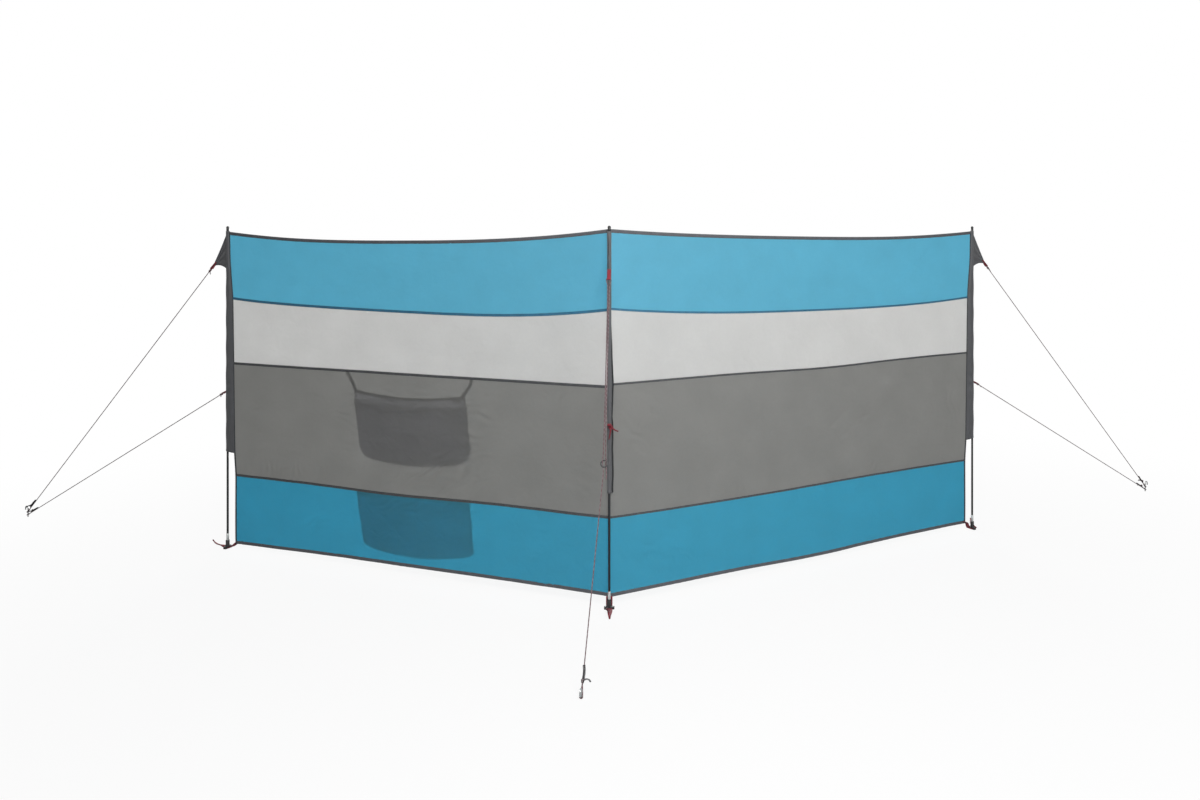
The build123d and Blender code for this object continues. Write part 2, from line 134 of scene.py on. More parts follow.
# The light all round is faint, but it looks white itself, straight on and in mirrors.
sky_light = 0.03
world = bpy.data.worlds.new("studio")
world.use_nodes = True
bpy.context.scene.world = world
tree = world.node_tree
tree.nodes.clear()
path = add_node(tree, "ShaderNodeLightPath")
looks = {0: path.outputs["Is Camera Ray"], 1: path.outputs["Is Glossy Ray"]}
looked_at = add_node(tree, "ShaderNodeMath", looks, operation="MAXIMUM")
strength = add_node(tree, "ShaderNodeMapRange", {"Value": looked_at, "To Min": sky_light, "To Max": 1.0})
sky = add_node(tree, "ShaderNodeBackground", {"Color": linear("ffffff"), "Strength": strength})
add_node(tree, "ShaderNodeOutputWorld", {"Surface": sky})

# Matt white paint. It shows soft shadows near the feet, and further off it fades into the white.
floor_reach = 30.0
floor_paint, tree = new_material("matt_white_studio_floor")
place = add_node(tree, "ShaderNodeTexCoord")
from_middle = add_node(tree, "ShaderNodeVectorMath", {0: place.outputs["Object"]}, operation="LENGTH")
fade = {"Value": from_middle.outputs["Value"], "From Min": 0.5, "From Max": 4.5, "To Min": 0.9, "To Max": 1.0}
far_white = add_node(tree, "ShaderNodeMapRange", fade, interpolation_type="SMOOTHSTEP")
path = add_node(tree, "ShaderNodeLightPath")
whitening = {0: far_white, 1: path.outputs["Is Camera Ray"]}
whitened = add_node(tree, "ShaderNodeMath", whitening, operation="MULTIPLY")
lit = add_node(tree, "ShaderNodeBsdfDiffuse", {"Color": linear("dedede")})
white = add_node(tree, "ShaderNodeEmission", {"Color": linear("ffffff"), "Strength": 1.0})
mixed = add_node(tree, "ShaderNodeMixShader", {0: whitened, 1: lit, 2: white})
add_node(tree, "ShaderNodeOutputMaterial", {"Surface": mixed})
floor_corners = [(x * floor_reach, y * floor_reach, 0) for x, y in ((-1, -1), (1, -1), (1, 1), (-1, 1))]
make_object("studio_floor", floor_corners, [(0, 1, 2, 3)], floor_paint)

# ---- Cloth bands -----------------------------------------------------------------------------------
# Each bay is sewn from four bands of plain woven polyester, cut along the bay: blue, a thin pale one,
# grey and blue. They hang taut between the rods, with faint creases, puckers beside the seams and
# gathers near the sleeves. The cloth is thin enough for light to come through.

# A place on a bay is s along it from the fold and z up from the ground.
SIDES = {"left": -1, "right": 1}
half_fold = math.radians(63.5)  # between a bay and the line that halves the fold
bay_length = 1.960  # from the fold to the end rod's axis
cloth_thickness = 0.0008
grid_step = 0.0066
up = np.array((0, 0, 1.0))


def rod_axis(side):
    """Foot of a rod's axis on the ground."""
    low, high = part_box(f"{side}_pole")
    return np.array(((low.x + high.x) / 2, (low.y + high.y) / 2, 0.0))


def along_bay(side):
    """Level unit vector from the fold to the end rod."""
    return np.array((SIDES[side] * math.sin(half_fold), math.cos(half_fold), 0.0))


def to_windward(side):
    """Level unit vector square to the bay."""
    return np.array((SIDES[side] * math.cos(half_fold), -math.sin(half_fold), 0.0))


fold_foot = rod_axis("right") - along_bay("right") * bay_length

# Level lines of the cloth: height at the fold and at the end rod, sag halfway and how square it is,
# how far the sag leans to the fold, and the depth and place of a dip where the cloth is pulled down.
LEVEL_LINES = {
    "left": {
        "top": (1.465, 1.453, 0.043, 2.6, 0.0, 0.0, 0.5),
        "upper_seam": (1.153, 1.150, 0.037, 3.0, 0.005, 0.0, 0.5),
        "middle_seam": (0.854, 0.850, 0.003, 2.0, 0.0, 0.0, 0.5),
        "lower_seam": (0.350, 0.340, 0.001, 2.0, 0.0, 0.008, 0.54),
        "hem": (0.044, 0.025, -0.005, 2.0, 0.0, 0.0, 0.5),
    },
    "right": {
        "top": (1.465, 1.454, 0.028, 2.6, -0.003, 0.0, 0.5),
        "upper_seam": (1.156, 1.135, 0.037, 2.6, 0.0, 0.0, 0.5),
        "middle_seam": (0.863, 0.863, 0.004, 2.0, 0.0, 0.008, 0.54),
        "lower_seam": (0.349, 0.341, 0.004, 2.0, 0.004, 0.0, 0.5),
        "hem": (0.041, 0.035, 0.0, 2.0, 0.0, 0.009, 0.5),
    },
}

# Distance of the cloth's end edge from the end rod's axis, at heights from the ground up.
EDGE_HEIGHTS = (0.036, 0.116, 0.346, 0.446, 0.866, 1.146, 1.216, 1.316, 1.456)
EDGE_GAPS = (0.047, 0.046, 0.047, 0.038, 0.031, 0.026, 0.019, 0.009, 0.006)

dip_reach = 0.17  # as a share of the bay's length


def level(line, share):
    """Height of a level line at a share of the bay's length."""
    at_fold, at_end, sag, power, lean, dip, dip_place = line
    straight = at_fold + (at_end - at_fold) * share
    sagging = sag * (1 - np.abs(2 * share - 1) ** power) + lean * np.sin(2 * math.pi * share)
    return straight - sagging - dip * np.exp(-(((share - dip_place) / dip_reach) ** 2))


def edge_gap(height):
    """Distance of the end edge from the rod, eased over 60 mm of height."""
    spread = np.linspace(-0.03, 0.03, 7)
    return np.mean([np.interp(height + d, EDGE_HEIGHTS, EDGE_GAPS) for d in spread], axis=0)


def waves(seed, count, shortest, longest, lean):
    """Random plane waves in the cloth: wave numbers along and up, and phases. Lean turns them upright."""
    draw = np.random.default_rng(seed)
    numbers = 1 / draw.uniform(shortest, longest, count)
    angles = lean + draw.uniform(-0.6, 0.6, count)
    return numbers * np.cos(angles), numbers * np.sin(angles), draw.uniform(0, 2 * math.pi, count)


def crumple(kinds, s, z):
    """Sum of such waves, about 1 high."""
    total = 0
    for along, upward, phase in zip(*kinds):
        total = total + np.sin(2 * math.pi * (along * s + upward * z) + phase)
    return total / math.sqrt(len(kinds[0]))


def near(distance, reach):
    """1 on a line, falling to nothing at a few times the reach."""
    return np.exp(-np.abs(distance) / reach)


# Each side's waves: broad and medium swells, puckers beside the seams and the patches where they are
# strong, and crinkles and where the cloth is crinkled.
BROAD = {"left": waves(3, 6, 0.35, 0.8, 1.2), "right": waves(4, 6, 0.35, 0.8, 1.2)}
MEDIUM = {"left": waves(5, 9, 0.09, 0.22, 1.1), "right": waves(6, 9, 0.09, 0.22, 1.9)}
PUCKERS = {"left": waves(7, 5, 0.026, 0.040, 0.1), "right": waves(8, 5, 0.026, 0.044, -0.1)}
PATCHES = {"left": waves(9, 5, 0.3, 0.9, 0.2), "right": waves(10, 5, 0.3, 0.9, 0.2)}
CRINKLES = {"left": waves(11, 12, 0.028, 0.07, 1.3), "right": waves(12, 12, 0.028, 0.07, 1.7)}
CRINKLED = {"left": waves(13, 6, 0.12, 0.4, 0.7), "right": waves(14, 6, 0.12, 0.4, 0.7)}

# Groups of small folds: place along and up the bay, reach along and up, the way across the folds in
# degrees from level, their pitch and their height.
FOLDS = {
    "left": (
        (1.62, 0.391, 0.28, 0.030, 3, 0.034, 0.0017),
        (0.86, 0.416, 0.26, 0.045, 62, 0.036, 0.0028),
        (0.72, 0.456, 0.14, 0.060, 58, 0.048, 0.0033),
        (0.86, 0.301, 0.24, 0.040, 66, 0.034, 0.0024),
        (0.60, 0.626, 0.07, 0.130, 84, 0.036, 0.0030),
        (1.28, 0.656, 0.06, 0.120, 97, 0.034, 0.0013),
        (0.95, 0.736, 0.24, 0.050, 86, 0.040, 0.0017),
        (0.20, 0.806, 0.12, 0.035, 20, 0.030, 0.0007),
        (1.80, 0.576, 0.08, 0.160, 75, 0.060, 0.0017),
        (0.10, 0.496, 0.07, 0.140, 115, 0.050, 0.0007),
        (1.50, 0.196, 0.20, 0.060, 70, 0.050, 0.0011),
    ),
    "right": (
        (0.98, 0.316, 0.17, 0.030, 38, 0.030, 0.0017),
        (0.60, 0.381, 0.20, 0.030, 25, 0.034, 0.0009),
        (1.30, 0.376, 0.20, 0.030, 140, 0.034, 0.0011),
        (1.84, 0.976, 0.035, 0.160, 5, 0.028, 0.0015),
        (1.82, 0.616, 0.06, 0.180, 12, 0.040, 0.0013),
        (0.14, 0.656, 0.10, 0.140, 60, 0.050, 0.0017),
        (0.45, 0.556, 0.14, 0.060, 70, 0.055, 0.0011),
        (1.15, 0.576, 0.20, 0.080, 110, 0.060, 0.0011),
        (0.20, 0.166, 0.10, 0.080, 75, 0.045, 0.0011),
        (1.62, 1.266, 0.20, 0.080, 60, 0.060, 0.0009),
    ),
}


def small_folds(side, s, z):
    """Height of the groups of small folds at a place of the cloth."""
    total = 0
    for k, (s0, z0, along, high, angle, pitch, height) in enumerate(FOLDS[side]):
        way = math.radians(angle)
        across = (s - s0) * math.cos(way) + (z - z0) * math.sin(way)
        within = np.exp(-(((s - s0) / along) ** 2) - ((z - z0) / high) ** 2)
        bend = 0.012 * np.sin(2 * math.pi * (s / 0.31 + z / 0.23) + k)
        bend = bend + 0.007 * np.sin(2 * math.pi * (s / 0.17 - z / 0.13) + 2.3 * k)
        uneven = 0.70 + 0.42 * np.sin(2 * math.pi * (s / 0.15 + z / 0.21) + 1.7 * k)
        total = total + height * within * uneven * np.sin(2 * math.pi * (across + bend) / pitch)
    return total


# Lines where the cloth is sewn: name, reach along which it is held flat and how much of the small
# folds is held down, and the reach and height of the puckers beside it.
SEWN_LINES = (
    ("hem", 0.026, 1.0, 0.020, 0.0005),
    ("lower_seam", 0.014, 0.85, 0.035, 0.0007),
    ("middle_seam", 0.014, 0.85, 0.020, 0.0003),
    ("upper_seam", 0.014, 0.85, 0.025, 0.0004),
    ("top", 0.024, 1.0, 0.020, 0.0004),
)
belly_depth = 0.010
broad_height = 0.0022
medium_height = 0.0009
crinkle_height = 0.00016
end_gather_height = 0.0012
fold_gather_height = 0.0009


def relief(side, s, z):
    """How far the cloth stands out to windward of the bay's plane, at a place along and up the bay."""
    share = s / bay_length
    lines = LEVEL_LINES[side]
    from_top = (level(lines["top"], share) - z).clip(0, None)
    held = np.minimum(1, s / 0.12) * np.minimum(1, (bay_length - 0.05 - s) / 0.10).clip(0, 1)
    up_bay = np.clip(z / lines["top"][1], 0, 1)
    belly = -belly_depth * np.sin(math.pi * share) * np.sin(math.pi * up_bay)
    waved = broad_height * crumple(BROAD[side], s, z) + medium_height * crumple(MEDIUM[side], s, z)
    sewn, puckers = 1.0, 0.0
    for name, flat_reach, share_held, reach, height in SEWN_LINES:
        away = z - level(lines[name], share)
        sewn = sewn * (1 - share_held * np.exp(-((away / flat_reach) ** 2)))
        puckers = puckers + height * near(away, reach)
    patch = np.clip(0.5 + 0.6 * crumple(PATCHES[side], s, z), 0, 1.3)
    puckers = puckers * patch * crumple(PUCKERS[side], s, z) * np.minimum(1, s / 0.02)
    crinkled = np.clip(0.35 + 0.5 * crumple(CRINKLED[side], s, z), 0, 1)
    crinkles = crinkle_height * crinkled * crumple(CRINKLES[side], s, z)
    fine = sewn * (crinkles + small_folds(side, s, z))
    at_end = near(bay_length - 0.04 - s, 0.05) * np.sin(2 * math.pi * z / 0.085 + 9 * s)
    at_fold = near(s - 0.03, 0.05) * np.sin(2 * math.pi * z / 0.11 + 5 * s)
    gathers = (end_gather_height * at_end + fold_gather_height * at_fold) * np.minimum(1, from_top / 0.1)
    return held * (belly + waved + fine + gathers) + puckers


def on_cloth(side, s, z, proud=0.0):
    """Points of the cloth's middle, or standing proud of it to windward."""
    s, z = np.broadcast_arrays(np.asarray(s, float), np.asarray(z, float))
    in_plane = fold_foot + s[..., None] * along_bay(side) + z[..., None] * up
    return in_plane + (relief(side, s, z) + proud)[..., None] * to_windward(side)


def band_places(side, lower, upper, columns, rows):
    """Places along and up the bay of a grid between two level lines."""
    across, part = np.meshgrid(np.linspace(0, 1, columns), np.linspace(0, 1, rows), indexing="ij")
    lines = LEVEL_LINES[side]
    s = across * (bay_length - 0.03)  # a first guess at the end edge, which the turns below correct
    for _ in range(3):
        share = s / bay_length
        z = level(lines[lower], share) * (1 - part) + level(lines[upper], share) * part
        s = across * (bay_length - edge_gap(z))
    return s, z


def unit(vectors):
    """The vectors at length 1."""
    return vectors / np.linalg.norm(vectors, axis=-1, keepdims=True)


def quads(columns, rows, wrap):
    """Faces of a grid of points, numbered row by row within each column."""
    i, j = np.meshgrid(np.arange(columns - 1), np.arange(rows if wrap else rows - 1), indexing="ij")
    a = i * rows + j
    b = a + rows
    step = (j + 1) % rows - j
    return np.stack((a, b, b + step, a + step), axis=-1).reshape(-1, 4)


def shell(name, grid, thickness, material, places, wrap=False):
    """A closed thin wall about a grid of points: two skins, with rims along the open edges."""
    columns, rows = grid.shape[:2]
    upward = np.roll(grid, -1, 1) - np.roll(grid, 1, 1) if wrap else np.gradient(grid, axis=1)
    normal = unit(np.cross(np.gradient(grid, axis=0), upward))
    half = np.broadcast_to(thickness, (columns, rows))[..., None] / 2
    points = np.concatenate([(grid + normal * half * face).reshape(-1, 3) for face in (1, -1)])
    number = np.arange(columns * rows).reshape(columns, rows)
    rims = [number[0], number[-1, ::-1]]
    if wrap:
        rims = [np.append(rim, rim[0]) for rim in rims]
    else:
        rims = [number[::-1, 0], number[:, -1], *rims]
    front = quads(columns, rows, wrap)
    faces = [front, front[:, ::-1] + columns * rows]
    for rim in rims:
        a, b = rim[:-1], rim[1:]
        faces.append(np.stack((a, b, b + columns * rows, a + columns * rows), axis=-1))
    uv = np.stack([np.tile(p.ravel(), 2) for p in places], axis=-1)
    return make_object(name, points, np.concatenate(faces), material, uv)


def hold(piece, slot, *nodes):
    """The piece rides on the windbreak and stands for CAD nodes, which are hidden. The slot is not used."""
    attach(piece, "root")
    if nodes:
        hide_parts(*nodes)
    return piece


def taffeta(name, colour, mottle, through):
    """Plain woven polyester: fine weave, faint mottling and creases, and light that comes through."""
    material, tree = new_material(name)
    place = add_node(tree, "ShaderNodeUVMap", uv_map="cloth")
    flat = add_node(tree, "ShaderNodeVectorMath", {0: place, 1: (1, 1, 0)}, operation="MULTIPLY")
    cloudy = add_node(tree, "ShaderNodeTexNoise", {"Vector": flat, "Scale": 7.0, "Detail": 4.0})
    specks = add_node(tree, "ShaderNodeTexNoise", {"Vector": flat, "Scale": 90.0, "Detail": 3.0})
    both = add_node(tree, "ShaderNodeMath", {0: specks, 1: 0.45, 2: cloudy}, operation="MULTIPLY_ADD")
    mottling = {"Value": both, "From Min": 0.45, "From Max": 1.0, "To Min": 1 - mottle, "To Max": 1 + mottle}
    shade = add_node(tree, "ShaderNodeMapRange", mottling)
    tint = add_node(tree, "ShaderNodeVectorMath", {0: linear(colour)[:3], "Scale": shade}, operation="SCALE")
    crumpled = {"Vector": flat, "Scale": 16.0, "Detail": 3.0, "Distortion": 0.6}
    creases = add_node(tree, "ShaderNodeTexNoise", crumpled)
    crease_bump = add_node(tree, "ShaderNodeBump", {"Height": creases, "Strength": 0.6, "Distance": 0.004})
    threads = 1 / 0.0018  # the real threads, about 0.3 mm apart, are drawn 1.8 mm apart to show at all
    spacing = {0: flat, 1: (threads, threads, 0)}
    crossed = add_node(tree, "ShaderNodeVectorMath", spacing, operation="MULTIPLY")
    weave = add_node(tree, "ShaderNodeTexChecker", {"Vector": crossed, "Scale": 1.0})
    woven = {"Height": weave.outputs["Fac"], "Strength": 0.3, "Distance": 0.0004, "Normal": crease_bump}
    weave_bump = add_node(tree, "ShaderNodeBump", woven)
    surface = {"Base Color": tint, "Roughness": 0.55, "Specular IOR Level": 0.5, "Normal": weave_bump}
    skin = add_node(tree, "ShaderNodeBsdfPrincipled", {**surface, "Sheen Weight": 0.3})
    glow = add_node(tree, "ShaderNodeBsdfTranslucent", {"Color": tint, "Normal": crease_bump})
    cloth = add_node(tree, "ShaderNodeMixShader", {0: through, 1: skin, 2: glow})
    add_node(tree, "ShaderNodeOutputMaterial", {"Surface": cloth})
    return material


# Dyed polyester taffeta, thin enough that its colour is seen mostly by the light from behind it.
blue_taffeta = taffeta("blue_polyester_taffeta", "89c9db", mottle=0.03, through=0.76)
pale_taffeta = taffeta("pale_polyester_taffeta", "dddddc", mottle=0.03, through=0.76)
grey_taffeta = taffeta("grey_polyester_taffeta", "a9a9a7", mottle=0.04, through=0.72)
# The bottom band is the same blue cloth, drawn deeper and less red as painted shade, since less light reaches
# it near the ground.
shaded_blue_taffeta = taffeta("blue_polyester_taffeta_painted_shade", "5eb9cf", mottle=0.03, through=0.70)

# Level lines below and above each band, its cloth and its slot.
BANDS = {
    "top_band": ("upper_seam", "top", blue_taffeta, "blue_cloth"),
    "light_band": ("middle_seam", "upper_seam", pale_taffeta, "light_cloth"),
    "grey_band": ("lower_seam", "middle_seam", grey_taffeta, "grey_cloth"),
    "bottom_band": ("hem", "lower_seam", shaded_blue_taffeta, "blue_cloth"),
}
for side in SIDES:
    for band, (lower, upper, material, slot) in BANDS.items():
        height = LEVEL_LINES[side][upper][0] - LEVEL_LINES[side][lower][0]
        s, z = band_places(side, lower, upper, round(bay_length / grid_step), round(height / grid_step))
        grid = on_cloth(side, s, z)
        if side == "left":  # turned round, so that its faces point outwards too
            grid, s, z = grid[::-1], s[::-1], z[::-1]
        cloth = shell(f"{side}_{band}_cloth", grid, cloth_thickness, material, (s, z))
        hold(cloth, slot, f"{side}_{band}")

# ---- Seams -----------------------------------------------------------------------------------------
# The bands are joined by felled seams: their edges are folded into each other and sewn down flat,
# which shows as a dark raised line. The upper one is folded in blue cloth, the others in grey.
seam_width = {"left": 0.0112, "right": 0.0086}
seam_thickness = 0.0024


def box_outline(across, square, corner):
    """Rounded rectangle with those sizes along the across vector and square to it."""
    points = []
    for quarter, (x, y) in enumerate(((1, 1), (-1, 1), (-1, -1), (1, -1))):
        for turn in (0, 45, 90):
            angle = math.radians(90 * quarter + turn)
            x_point = x * (across / 2 - corner) + corner * math.cos(angle)
            y_point = y * (square / 2 - corner) + corner * math.sin(angle)
            points.append((x_point, y_point))
    return np.array(points)


def swept(name, path, across, outline, material, closed=False, on_fold=False):
    """A solid drawn along a path. Outline points are (along the across vector, square to it)."""
    path = np.asarray(path, float)
    count, corners = len(path), len(outline)
    tangent = unit(np.roll(path, -1, 0) - np.roll(path, 1, 0) if closed else np.gradient(path, axis=0))
    across = np.broadcast_to(across, path.shape)
    across = unit(across - tangent * np.sum(across * tangent, axis=1, keepdims=True))
    square = np.cross(tangent, across)
    rings = path[:, None] + (outline[None, :, :1] * across[:, None] + outline[None, :, 1:] * square[:, None])
    if on_fold:  # the first ring is cut off in the plane that halves the fold
        rings[0] -= tangent[0] * (rings[0][:, :1] / tangent[0][0])
    i, j = np.meshgrid(np.arange(count if closed else count - 1), np.arange(corners), indexing="ij")
    steps = np.stack((i, i, i + 1, i + 1), axis=-1).reshape(-1, 4)
    turns = np.stack((j, j + 1, j + 1, j), axis=-1).reshape(-1, 4)
    faces = list((steps % count) * corners + turns % corners)
    around = np.cumsum(np.linalg.norm(np.diff(outline, axis=0, prepend=outline[:1]), axis=1))
    around = np.append(around, around[-1] + np.linalg.norm(outline[0] - outline[-1]))
    length = np.cumsum(np.linalg.norm(np.diff(path, axis=0, prepend=path[:1]), axis=1))
    length = np.append(length, length[-1] + np.linalg.norm(path[0] - path[-1]))
    uv = np.stack((length[steps], around[turns]), axis=-1).reshape(-1, 2)
    if not closed:
        faces += [np.arange(corners)[::-1], np.arange(corners) + (count - 1) * corners]
        ends = [np.tile((end, 0.0), (corners, 1)) for end in (0.0, length[count - 1])]
        uv = np.concatenate((uv, *ends))
    return make_object(name, rings.reshape(-1, 3), faces, material, corner_uv=uv)


def join(name, parts):
    """Joins pieces into one object and keeps the material of each."""
    for part in bpy.context.selected_objects:
        part.select_set(False)
    for part in parts:
        part.select_set(True)
    bpy.context.view_layer.objects.active = parts[0]
    bpy.ops.object.join()
    parts[0].name = name
    parts[0].data.name = name
    return parts[0]


def tape(name, colour, rib=0.0016):
    """Woven polyester tape or folded cloth: cross ribs, a soft sheen and slightly worn edges."""
    material, tree = new_material(name)
    place = add_node(tree, "ShaderNodeUVMap", uv_map="cloth")
    wave_spacing = 0.314  # of the wave pattern's bands at a scale of 1
    ribbing = {"Vector": place, "Scale": wave_spacing / rib, "Distortion": 0.6, "Detail": 1.0}
    ribs = add_node(tree, "ShaderNodeTexWave", ribbing, bands_direction="X")
    spots = add_node(tree, "ShaderNodeTexCoord").outputs["Object"]
    worn = add_node(tree, "ShaderNodeTexNoise", {"Vector": spots, "Scale": 45.0, "Detail": 3.0})
    shade = add_node(tree, "ShaderNodeMapRange", {"Value": worn, "To Min": 0.75, "To Max": 1.25})
    tint = add_node(tree, "ShaderNodeVectorMath", {0: linear(colour)[:3], "Scale": shade}, operation="SCALE")
    raised = {"Height": ribs.outputs["Fac"], "Strength": 0.35, "Distance": 0.0004}
    bump = add_node(tree, "ShaderNodeBump", raised)
    folded = {"Height": worn, "Strength": 0.3, "Distance": 0.002, "Normal": bump}
    folds = add_node(tree, "ShaderNodeBump", folded)
    surface = {"Base Color": tint, "Roughness": 0.7, "Specular IOR Level": 0.3, "Normal": folds}
    skin = add_node(tree, "ShaderNodeBsdfPrincipled", {**surface, "Sheen Weight": 0.1})
    add_node(tree, "ShaderNodeOutputMaterial", {"Surface": skin})
    return material


# Four layers of cloth: too thick to glow, so the seams show dark against the bands, and dull.
seam_cloth_blue = tape("folded_blue_taffeta", "2c6480")
seam_cloth_grey = tape("folded_grey_taffeta", "454648")
SEAMS = {"upper_seam": seam_cloth_blue, "middle_seam": seam_cloth_grey, "lower_seam": seam_cloth_grey}


def level_path(side, line, drop=0.0, start=0.0, clear=0.004, proud=0.0):
    """Points along a level line of the cloth, a drop below it."""
    heights = LEVEL_LINES[side][line]
    end = bay_length - edge_gap(level(heights, 1.0)) - clear
    s = np.linspace(start, end, round(bay_length / 0.008))
    return on_cloth(side, s, level(heights, s / bay_length) - drop, proud)


for side, sign in SIDES.items():
    windward = sign * to_windward(side)
    outline = box_outline(seam_thickness, seam_width[side], 0.0009)
    seams = []
    for line, material in SEAMS.items():
        seams.append(swept(line, level_path(side, line), windward, outline, material, on_fold=True))
    hold(join(f"{side}_felled_seams", seams), "binding_tape", f"{side}_seam_tapes")

# ---- Bindings --------------------------------------------------------------------------------------
# The cloth's top edge, hem and free end edge are bound with grey polyester tape, folded over the
# edge and sewn through, so that it draws in a little between its stitches.
binding_width = 0.014
end_binding_width = 0.009
binding_fold = 0.0030  # thickness at the folded edge
binding_leaf = 0.0020  # thickness at the two sewn edges
binding_corner = 0.0005
# Woven tape, doubled, that stays dark and dull where the bands beside it glow.
binding_tape = tape("folded_grey_binding_tape", "525357")
# The end edge's tape is drawn darker than the top's and the hem's, as painted shade from the sleeve and rod
# beside it.
end_tape = tape("end_binding_tape_painted_shade", "2e2f32")


def fold_outline(width):
    """Tape folded over an edge at 0 that reaches a width the other way: thick at the fold."""
    half_turn = [math.radians(a) for a in (-90, -60, -30, 0, 30, 60, 90)]
    fold = [(-binding_fold / 2 * math.sin(a), binding_fold / 2 * (1 - math.cos(a))) for a in half_turn]
    outer, inner, corner = binding_leaf / 2, binding_leaf / 3, width - binding_corner
    return np.array([*fold, (-outer, corner), (-inner, width), (inner, width), (outer, corner)])


edge_outline = fold_outline(binding_width)
end_outline = fold_outline(end_binding_width) * (1, -1)
for side, sign in SIDES.items():
    windward = sign * to_windward(side)
    top_path, hem_path = level_path(side, "top"), level_path(side, "hem")
    top_name, hem_name, end_name = (f"{side}_{edge}_binding" for edge in ("top_edge", "hem", "end_edge"))
    top = swept(top_name, top_path, windward, edge_outline[::-1], binding_tape, on_fold=True)
    hold(top, "binding_tape", f"{side}_top_binding")
    hem = swept(hem_name, hem_path, windward, edge_outline * (1, -1), binding_tape, on_fold=True)
    hold(hem, "binding_tape", f"{side}_bottom_binding")
    lowest, highest = level(LEVEL_LINES[side]["hem"], 0.975), level(LEVEL_LINES[side]["top"], 0.99)
    z = np.linspace(lowest, highest, 180)
    end = swept(end_name, on_cloth(side, bay_length - edge_gap(z), z), windward, end_outline, end_tape)
    hold(end, "binding_tape", f"{side}_end_binding")

# ---- Pole sleeves ----------------------------------------------------------------------------------
# Each rod stands in a tube of dark grey polyester that ends at knee height. The end ones are sewn to
# the cloth's end edges and widen downwards; the middle one is a narrow tube on the windward face.
# The cloth is slack between rod and seam, creased lengthwise, and pinched where its loop pulls.
sleeve_foot = 0.446
sleeve_top = 1.456
sleeve_hem = 0.012
hem_thickness = 0.0009  # more than the cloth's
sleeve_seam = 0.0010  # from the seam's middle to each layer of the cloth
loop_height = 0.720
bulge_start = 1.16
bulge_ease = 0.30
bulge_depth = 0.0095
OUTWARD = {"left": along_bay("left"), "middle": np.array((0, -1.0, 0)), "right": along_bay("right")}
# Taffeta doubled round the rod: little light comes through. Its stronger mottling is painted shade, standing
# for the soft folds of its slack.
sleeve_cloth = taffeta("dark_grey_polyester_taffeta", "515255", mottle=0.08, through=0.15)


def middle_bulge(z):
    """How far the middle sleeve's slack hangs out to the right, eased in from its start down."""
    below = np.clip((bulge_start - z) / bulge_ease, 0, 1)
    wavy = 1 + 0.10 * np.sin(2 * math.pi * z / 0.17 + 0.8) + 0.03 * np.sin(2 * math.pi * z / 0.071)
    drawn_in = 1 - 0.45 * near(z - loop_height - 0.02, 0.03)
    return bulge_depth * below * below * (3 - 2 * below) * wavy * drawn_in


def sleeve(side, gap_at, radius, slack, slant):
    """Tube of cloth round a rod, drawn in to a seam at a gap behind the rod."""
    outward = OUTWARD[side]
    across = np.cross(outward, up)
    flat = np.linspace(0, 1, 14)
    turn = np.linspace(math.pi / 2, -math.pi / 2, 11)[1:-1]
    rows = np.linspace(0, 1, round((sleeve_top - sleeve_foot) / 0.007))[:, None]
    grid, heights = [], []
    for share, way in ((flat, 1), (turn, 0), (flat[::-1], -1)):  # windward, round the rod and sheltered
        if way:
            z = sleeve_top + rows * (sleeve_foot - slant * (1 - share) - sleeve_top)
            gap = gap_at(z)
            wave = np.sin(2 * math.pi * z / 0.071 + 3 * np.sin(z * 17) + way)
            pinch = 0.25 + near(z - loop_height, 0.09)
            crease = np.exp(-(((share - 0.45 - 0.08 * np.sin(9 * z + way)) / 0.10) ** 2))
            arch = np.sin(math.pi * share)
            fullness = arch * (0.35 + 0.5 * np.sin(5.3 * z + 2 * way) ** 2)
            puff = slack * (fullness * (gap / 0.03) + 0.5 * wave * pinch * arch + 0.55 * crease)
            if side == "middle" and way < 0:
                puff = puff + middle_bulge(z) * arch
            reach = -gap * (1 - share)
            out = way * (sleeve_seam + share * (radius - sleeve_seam) + puff)
        else:
            z = sleeve_top + rows * (sleeve_foot - sleeve_top) + 0 * share
            swell = 1 + 0.10 * np.sin(2 * math.pi * z / 0.13 + 1) + 0.16 * near(z - loop_height, 0.05)
            reach = radius * swell * np.cos(share)
            out = radius * swell * np.sin(share)
        grid.append(reach[..., None] * outward + out[..., None] * across + z[..., None] * up)
        heights.append(z)
    grid = rod_axis(side) + np.concatenate(grid, axis=1)
    heights = np.concatenate(heights, axis=1)
    hem = np.clip((sleeve_foot + sleeve_hem - heights) / 0.002 + 0.5, 0, 1)
    around = np.broadcast_to(np.linspace(0, 0.09, grid.shape[1]), grid.shape[:2])
    thickness = cloth_thickness + hem_thickness * hem
    return shell(f"{side}_pole_sleeve_cloth", grid, thickness, sleeve_cloth, (around, heights), wrap=True)


def end_gap(z):
    """From the end rod's axis back to just inside the cloth's end binding."""
    return edge_gap(z) + 0.004


def fold_gap(z):
    """From the middle rod's axis back to the cloth's fold, the same at every height."""
    return fold_foot[1] + 0 * z


for side in OUTWARD:
    if side == "middle":
        piece, width = sleeve(side, fold_gap, radius=0.0078, slack=0.0006, slant=0.0), 0.06
    else:
        piece, width = sleeve(side, end_gap, radius=0.0067, slack=0.0030, slant=0.007), 0.11
    hold(piece, "sleeve_cloth", f"{side}_pole_sleeve")

